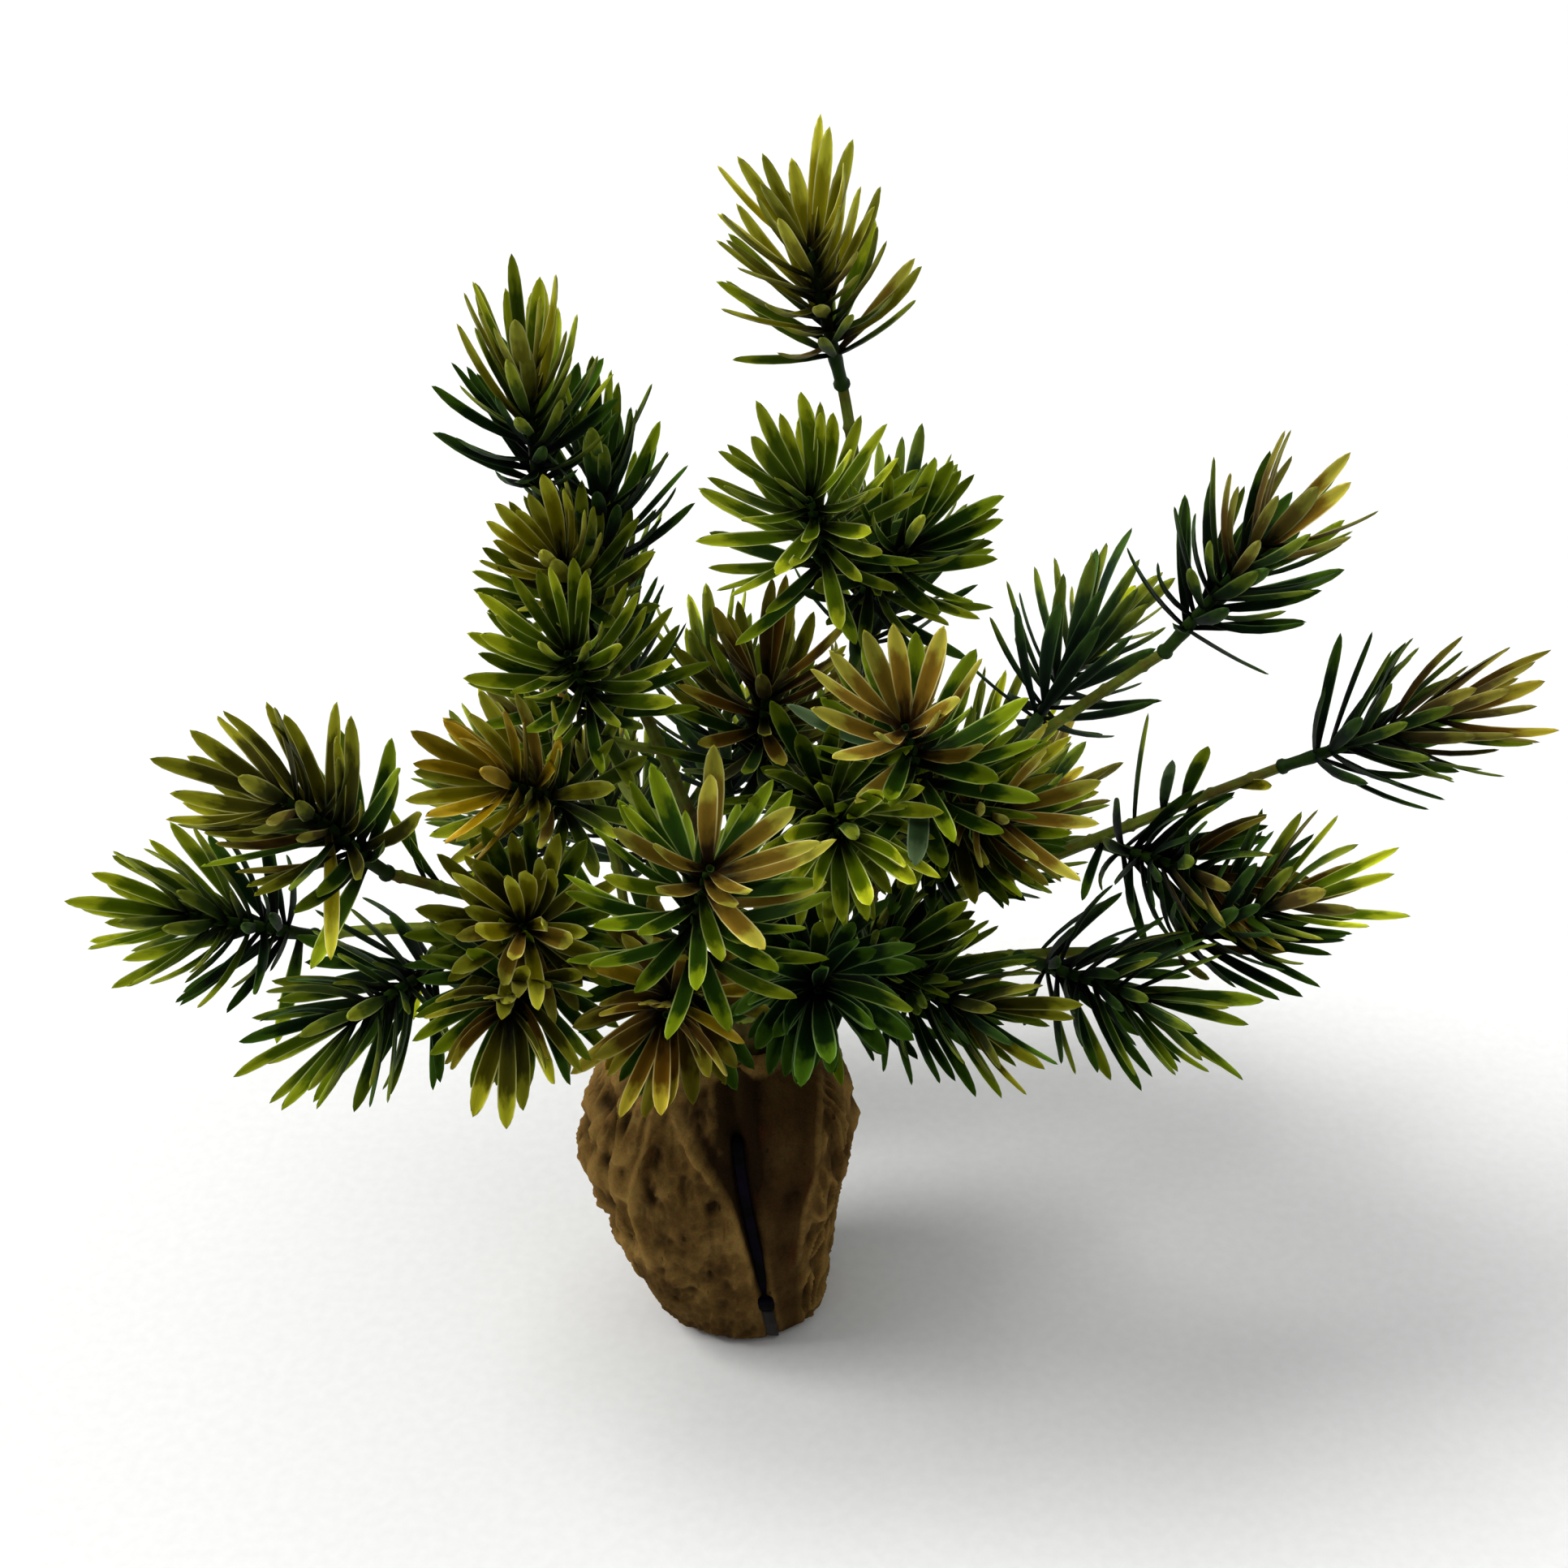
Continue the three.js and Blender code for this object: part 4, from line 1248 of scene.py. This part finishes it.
def base_height(point, z):
    """How far the weathered skin stands out at a point, its place beside the crevice, and its painted
    shade.
    """
    x = point.x if point.y < 0 else 2 * MIRROR - point.x
    face = smooth(abs(point.y) / 16)
    calm = 0.3 + 0.7 * smooth((abs(point.y) - 4) / 14)
    off = {name: x - line_at(name, z) for name in FRONT_LINES}
    left = smooth(-off["border"] / 5)
    right = smooth(off["edge"] / 4)
    panel = smooth(off["crevice"] / 5) * (1 - right)
    bulge = smooth(off["border"] / 5) * smooth(-off["crevice"] / 5) * face

    # Upright crests, mostly on the two sides, and level steps in them.
    around = math.atan2(point.y, point.x + 10)
    ring = Vector((math.cos(around) * 9, math.sin(around) * 9, z / 24))
    crests = 1 - min(1.0, abs(noise.noise(ring + noise.noise_vector(point / 12) * 0.6)) * 2.6)
    rise = (crests**1.4 - 0.35) * 2.6 * (0.22 + 0.78 * max(left, right)) * (1 - 0.8 * panel)
    rise *= 0.3 + 0.7 * calm
    level = math.cos((z - LEVEL_HEIGHT + 3 * noise.noise(point / 16)) / LEVEL_GAP * TAU)
    rise += 1.1 * level * max(left, 0.4 * right)

    for name, aside, height, width, low, high, soft in LINE_FORMS:
        rise += height * ridge(off[name] - aside, width) * fade(z, low, high, soft) * face

    # Lumps of two sizes, pits with uneven rims, and a fine roughness.
    tall = Vector((point.x, point.y, point.z * 0.5))
    coarse = min(0.4, abs(noise.noise(tall / 6.0)))
    fine = min(0.45, abs(noise.noise(tall / 2.9)))
    rise += (0.5 - 1.6 * coarse - 1.1 * fine) * (0.4 + bulge) * (1 - 0.6 * panel) * calm
    sway = 1.3 * noise.noise(point / 3.5)
    for place, height, radius, depth in PITS:
        distance = math.hypot(1.2 * (x - place) + sway, 0.8 * (z - height) + sway)
        rise -= 0.9 * depth * ridge(distance, radius) * face
    rise += noise.fractal(tall / 2.2, 0.8, 2.1, 3) * 0.34 * calm

    # Painted shade in the hollow beside the slanted ridge, on the panel right of the crevice, on the
    # right-hand side away from the light and faintly on the front bulge under the leaves, and a darkening
    # towards the bottom.
    hollow = ridge(off["slant"] - 7, 5) * fade(z, 82, 106, 8)
    foot = smooth((46 - z) / 30)
    stain = max(0.32 * bulge, face * max(panel, 0.9 * hollow, 0.62 * right, 0.7 * foot))
    return rise, off["crevice"], stain


def crevice_depth(crevice, z):
    """How deep the crevice cuts in beside its line: steep on the left and wider on the right."""
    deepest = mix(1.2, 5.6, smooth((z - 14) / 40))
    narrow, wide = (2.9, 5.0) if crevice < 0 else (3.1, 6.6)
    return deepest * (1 - smooth(abs(crevice) / mix(narrow, wide, smooth((z - 20) / 70))))


def base_skin(z, turn):
    """A point of the weathered skin, how high it lies, lowered at the top of the crevice for a painted
    shadow there, and its painted shade.
    """
    point = base_point(z, turn)
    step = base_point(z, turn + 0.01) - base_point(z, turn - 0.01)
    out = Vector((step.y, -step.x, 0)).normalized()
    rise, crevice, stain = base_height(point, z)
    rise *= mix(0.35, 1, smooth(z / 6))
    painted_crevice_shadow = 0.0
    if point.y < 0:
        rise = rise * (1 - 0.85 * ridge(crevice, 4.5)) - crevice_depth(crevice, z)
        # A painted shadow at the top of the crevice, carried by a lower height for the paint.
        painted_crevice_shadow = 3.6 * ridge(crevice - 1, 8) * fade(z, 84, 112, 18)
    return point + out * (rise - 0.9 * abs(out.x)), rise - painted_crevice_shadow, stain


def base_top(rim):
    """What base_skin gives, for the rings over the top of the base from its rim to the socket."""
    skin = []
    inmost = TOP_RINGS[-1][0]
    for share, z in TOP_RINGS:
        # The socket's wall lies lower for the paint, so it takes painted shade, and the whole top takes a
        # light painted shade.
        sunk = 1.6 if share == inmost else 0.0
        for k, edge in enumerate(rim):
            turn = TAU * k / BASE_COLUMNS
            wall = Vector(SOCKET_MIDDLE) + Vector((math.cos(turn), math.sin(turn))) * SOCKET_RADIUS
            flat = edge.xy.lerp(wall, smooth((1 - share) / (1 - inmost)))
            bump = 0.0
            if z >= BASE_TOP:
                bump = 0.9 * noise.fractal(Vector((*flat, z)) / 5, 0.7, 2.1, 4)
            skin.append((Vector((*flat, z + bump)), bump - sunk, 0.3))
    return skin


def make_base():
    """The weathered base: rows of points up its skin, rings over its top, and its underside."""
    # Without a seed, noise_vector would differ from run to run.
    noise.seed_set(3)
    heights = [i * BASE_STEP for i in range(math.ceil(BASE_TOP / BASE_STEP))] + [BASE_TOP]
    skin = [base_skin(z, TAU * k / BASE_COLUMNS) for z in heights for k in range(BASE_COLUMNS)]
    skin += base_top([spot for spot, _, _ in skin[-BASE_COLUMNS:]])
    rows = len(skin) // BASE_COLUMNS
    top = len(skin)
    # The socket's middle lies lowest, in the deepest painted shade.
    skin.append((Vector((*SOCKET_MIDDLE, TOP_RINGS[-1][1])), -2.0, 1.0))
    skin.append((Vector((-2, 0, 0)), 0.0, 0.0))
    faces = wall_faces(rows, BASE_COLUMNS)
    last = (rows - 1) * BASE_COLUMNS
    for k in range(BASE_COLUMNS):
        after = (k + 1) % BASE_COLUMNS
        faces.append((last + k, last + after, top))
        faces.append((after, k, top + 1))
    spots, rises, painted_shades = zip(*skin)
    mesh = smooth_mesh("weathered_base", spots, faces, ROCK_MATERIAL)
    add_values(mesh, "height", rises)
    add_values(mesh, "stain", painted_shades)
    piece = placed("weathered_base", mesh)
    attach(piece, "root")
    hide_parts("rock_base")


def crevice_point(z, sunk):
    """A point in the crevice, sunk behind the skin of the base."""
    x = line_at("crevice", z)
    return Vector((x, base_front(x, z) + sunk, z))


def band(name, finish, width, depth, sunk, top, foot, edge, ribs=()):
    """A flat band with rounded edges down the crevice. Ribs are heights, half heights and swells."""
    section = []
    for sx, sy in ((1, -1), (1, 1), (-1, 1), (-1, -1)):
        corner = Vector((sx * (width / 2 - edge), sy * (depth / 2 - edge), 0))
        for i in range(4):
            turn = math.atan2(sy, sx) - math.pi / 4 + math.pi / 2 * i / 3
            section.append(corner + Vector((math.cos(turn), math.sin(turn), 0)) * edge)
    steps = max(3, round((top - foot) / 1.5))
    spots = []
    for i in range(steps + 1):
        z = foot + (top - foot) * i / steps
        size = 1 - edge / width * 2 if i in (0, steps) else 1.0
        swell = 1 + sum(rise * ridge(z - at, reach) for at, reach, rise in ribs)
        middle = crevice_point(z, sunk)
        for spot in section:
            spots.append(middle + Vector((spot.x * size, spot.y * size * swell, 0)))
    mesh = smooth_mesh(name, spots, tube_faces(steps + 1, len(section)), finish)
    mesh.polygons.foreach_set("use_smooth", [len(face.vertices) == 4 for face in mesh.polygons])
    piece = placed(name, mesh)
    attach(piece, "root")
    return piece


def make_bands():
    """The strip in the crevice, its clip with two raised lips, and its tail."""
    upper = {"width": 3.4, "depth": 2.2, "sunk": 3.2, "top": 97, "foot": 27.3, "edge": 0.35}
    strip = band("moulded_strip", STRIP_MATERIAL, **upper)
    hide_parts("strip")
    lips = ((25.9, 0.35, 0.16), (21.9, 0.45, 0.2))
    middle = {"width": 5.3, "depth": 3.3, "sunk": 1.2, "top": 27, "foot": 20.6, "edge": 0.4}
    clip = band("moulded_clip", STRIP_MATERIAL, **middle, ribs=lips)
    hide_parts("strip_clip")
    lower = {"width": 4.0, "depth": 0.95, "sunk": 0.1, "top": 20.3, "foot": 2, "edge": 0.25}
    tail = band("moulded_tail", TAIL_MATERIAL, **lower)
    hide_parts("strip_tail")


# STUDIO


def make_studio():
    """The floor, the light and the camera at the photograph's viewing angle."""
    scene = bpy.context.scene
    floor = bpy.data.meshes.new("studio_floor")
    corners = [(x * FLOOR_REACH, y * FLOOR_REACH, 0) for x, y in ((-1, -1), (1, -1), (1, 1), (-1, 1))]
    floor.from_pydata(corners, [], [(0, 1, 2, 3)])
    floor.materials.append(FLOOR_MATERIAL)
    ground = placed("studio_floor", floor)

    scene.world = bpy.data.worlds.new("studio_air")
    scene.world.use_nodes = True
    feed(scene.world.node_tree.nodes["Background"], {"Color": linear("#f2f5f8"), "Strength": AIR_LIGHT})
    for name, (place, spread, power) in SKY_PANELS.items():
        light = bpy.data.lights.new(name, "SUN")
        light.angle = math.radians(spread)
        light.energy = power
        placed(name, light).rotation_euler = (-Vector(place)).to_track_quat("-Z", "Y").to_euler()

    lens = bpy.data.cameras.new("photo_camera")
    lens.sensor_fit = "HORIZONTAL"
    lens.sensor_width = 36
    lens.lens = lens.sensor_width * LENS_PIXELS / PICTURE
    lens.clip_start = 0.01
    camera = placed("photo_camera", lens)
    down = math.radians(LOOKS_DOWN)
    away = Vector((0, math.cos(down), -math.sin(down))) * STANDS_OFF * MM
    camera.location = Vector(LOOKS_AT) * MM - away
    camera.rotation_euler = (math.pi / 2 - down, 0, 0)
    scene.camera = camera
    scene.view_settings.view_transform = "Standard"


make_studio()
make_base()
make_bands()
make_trunk()
make_stems()
make_collars()
make_leaves()
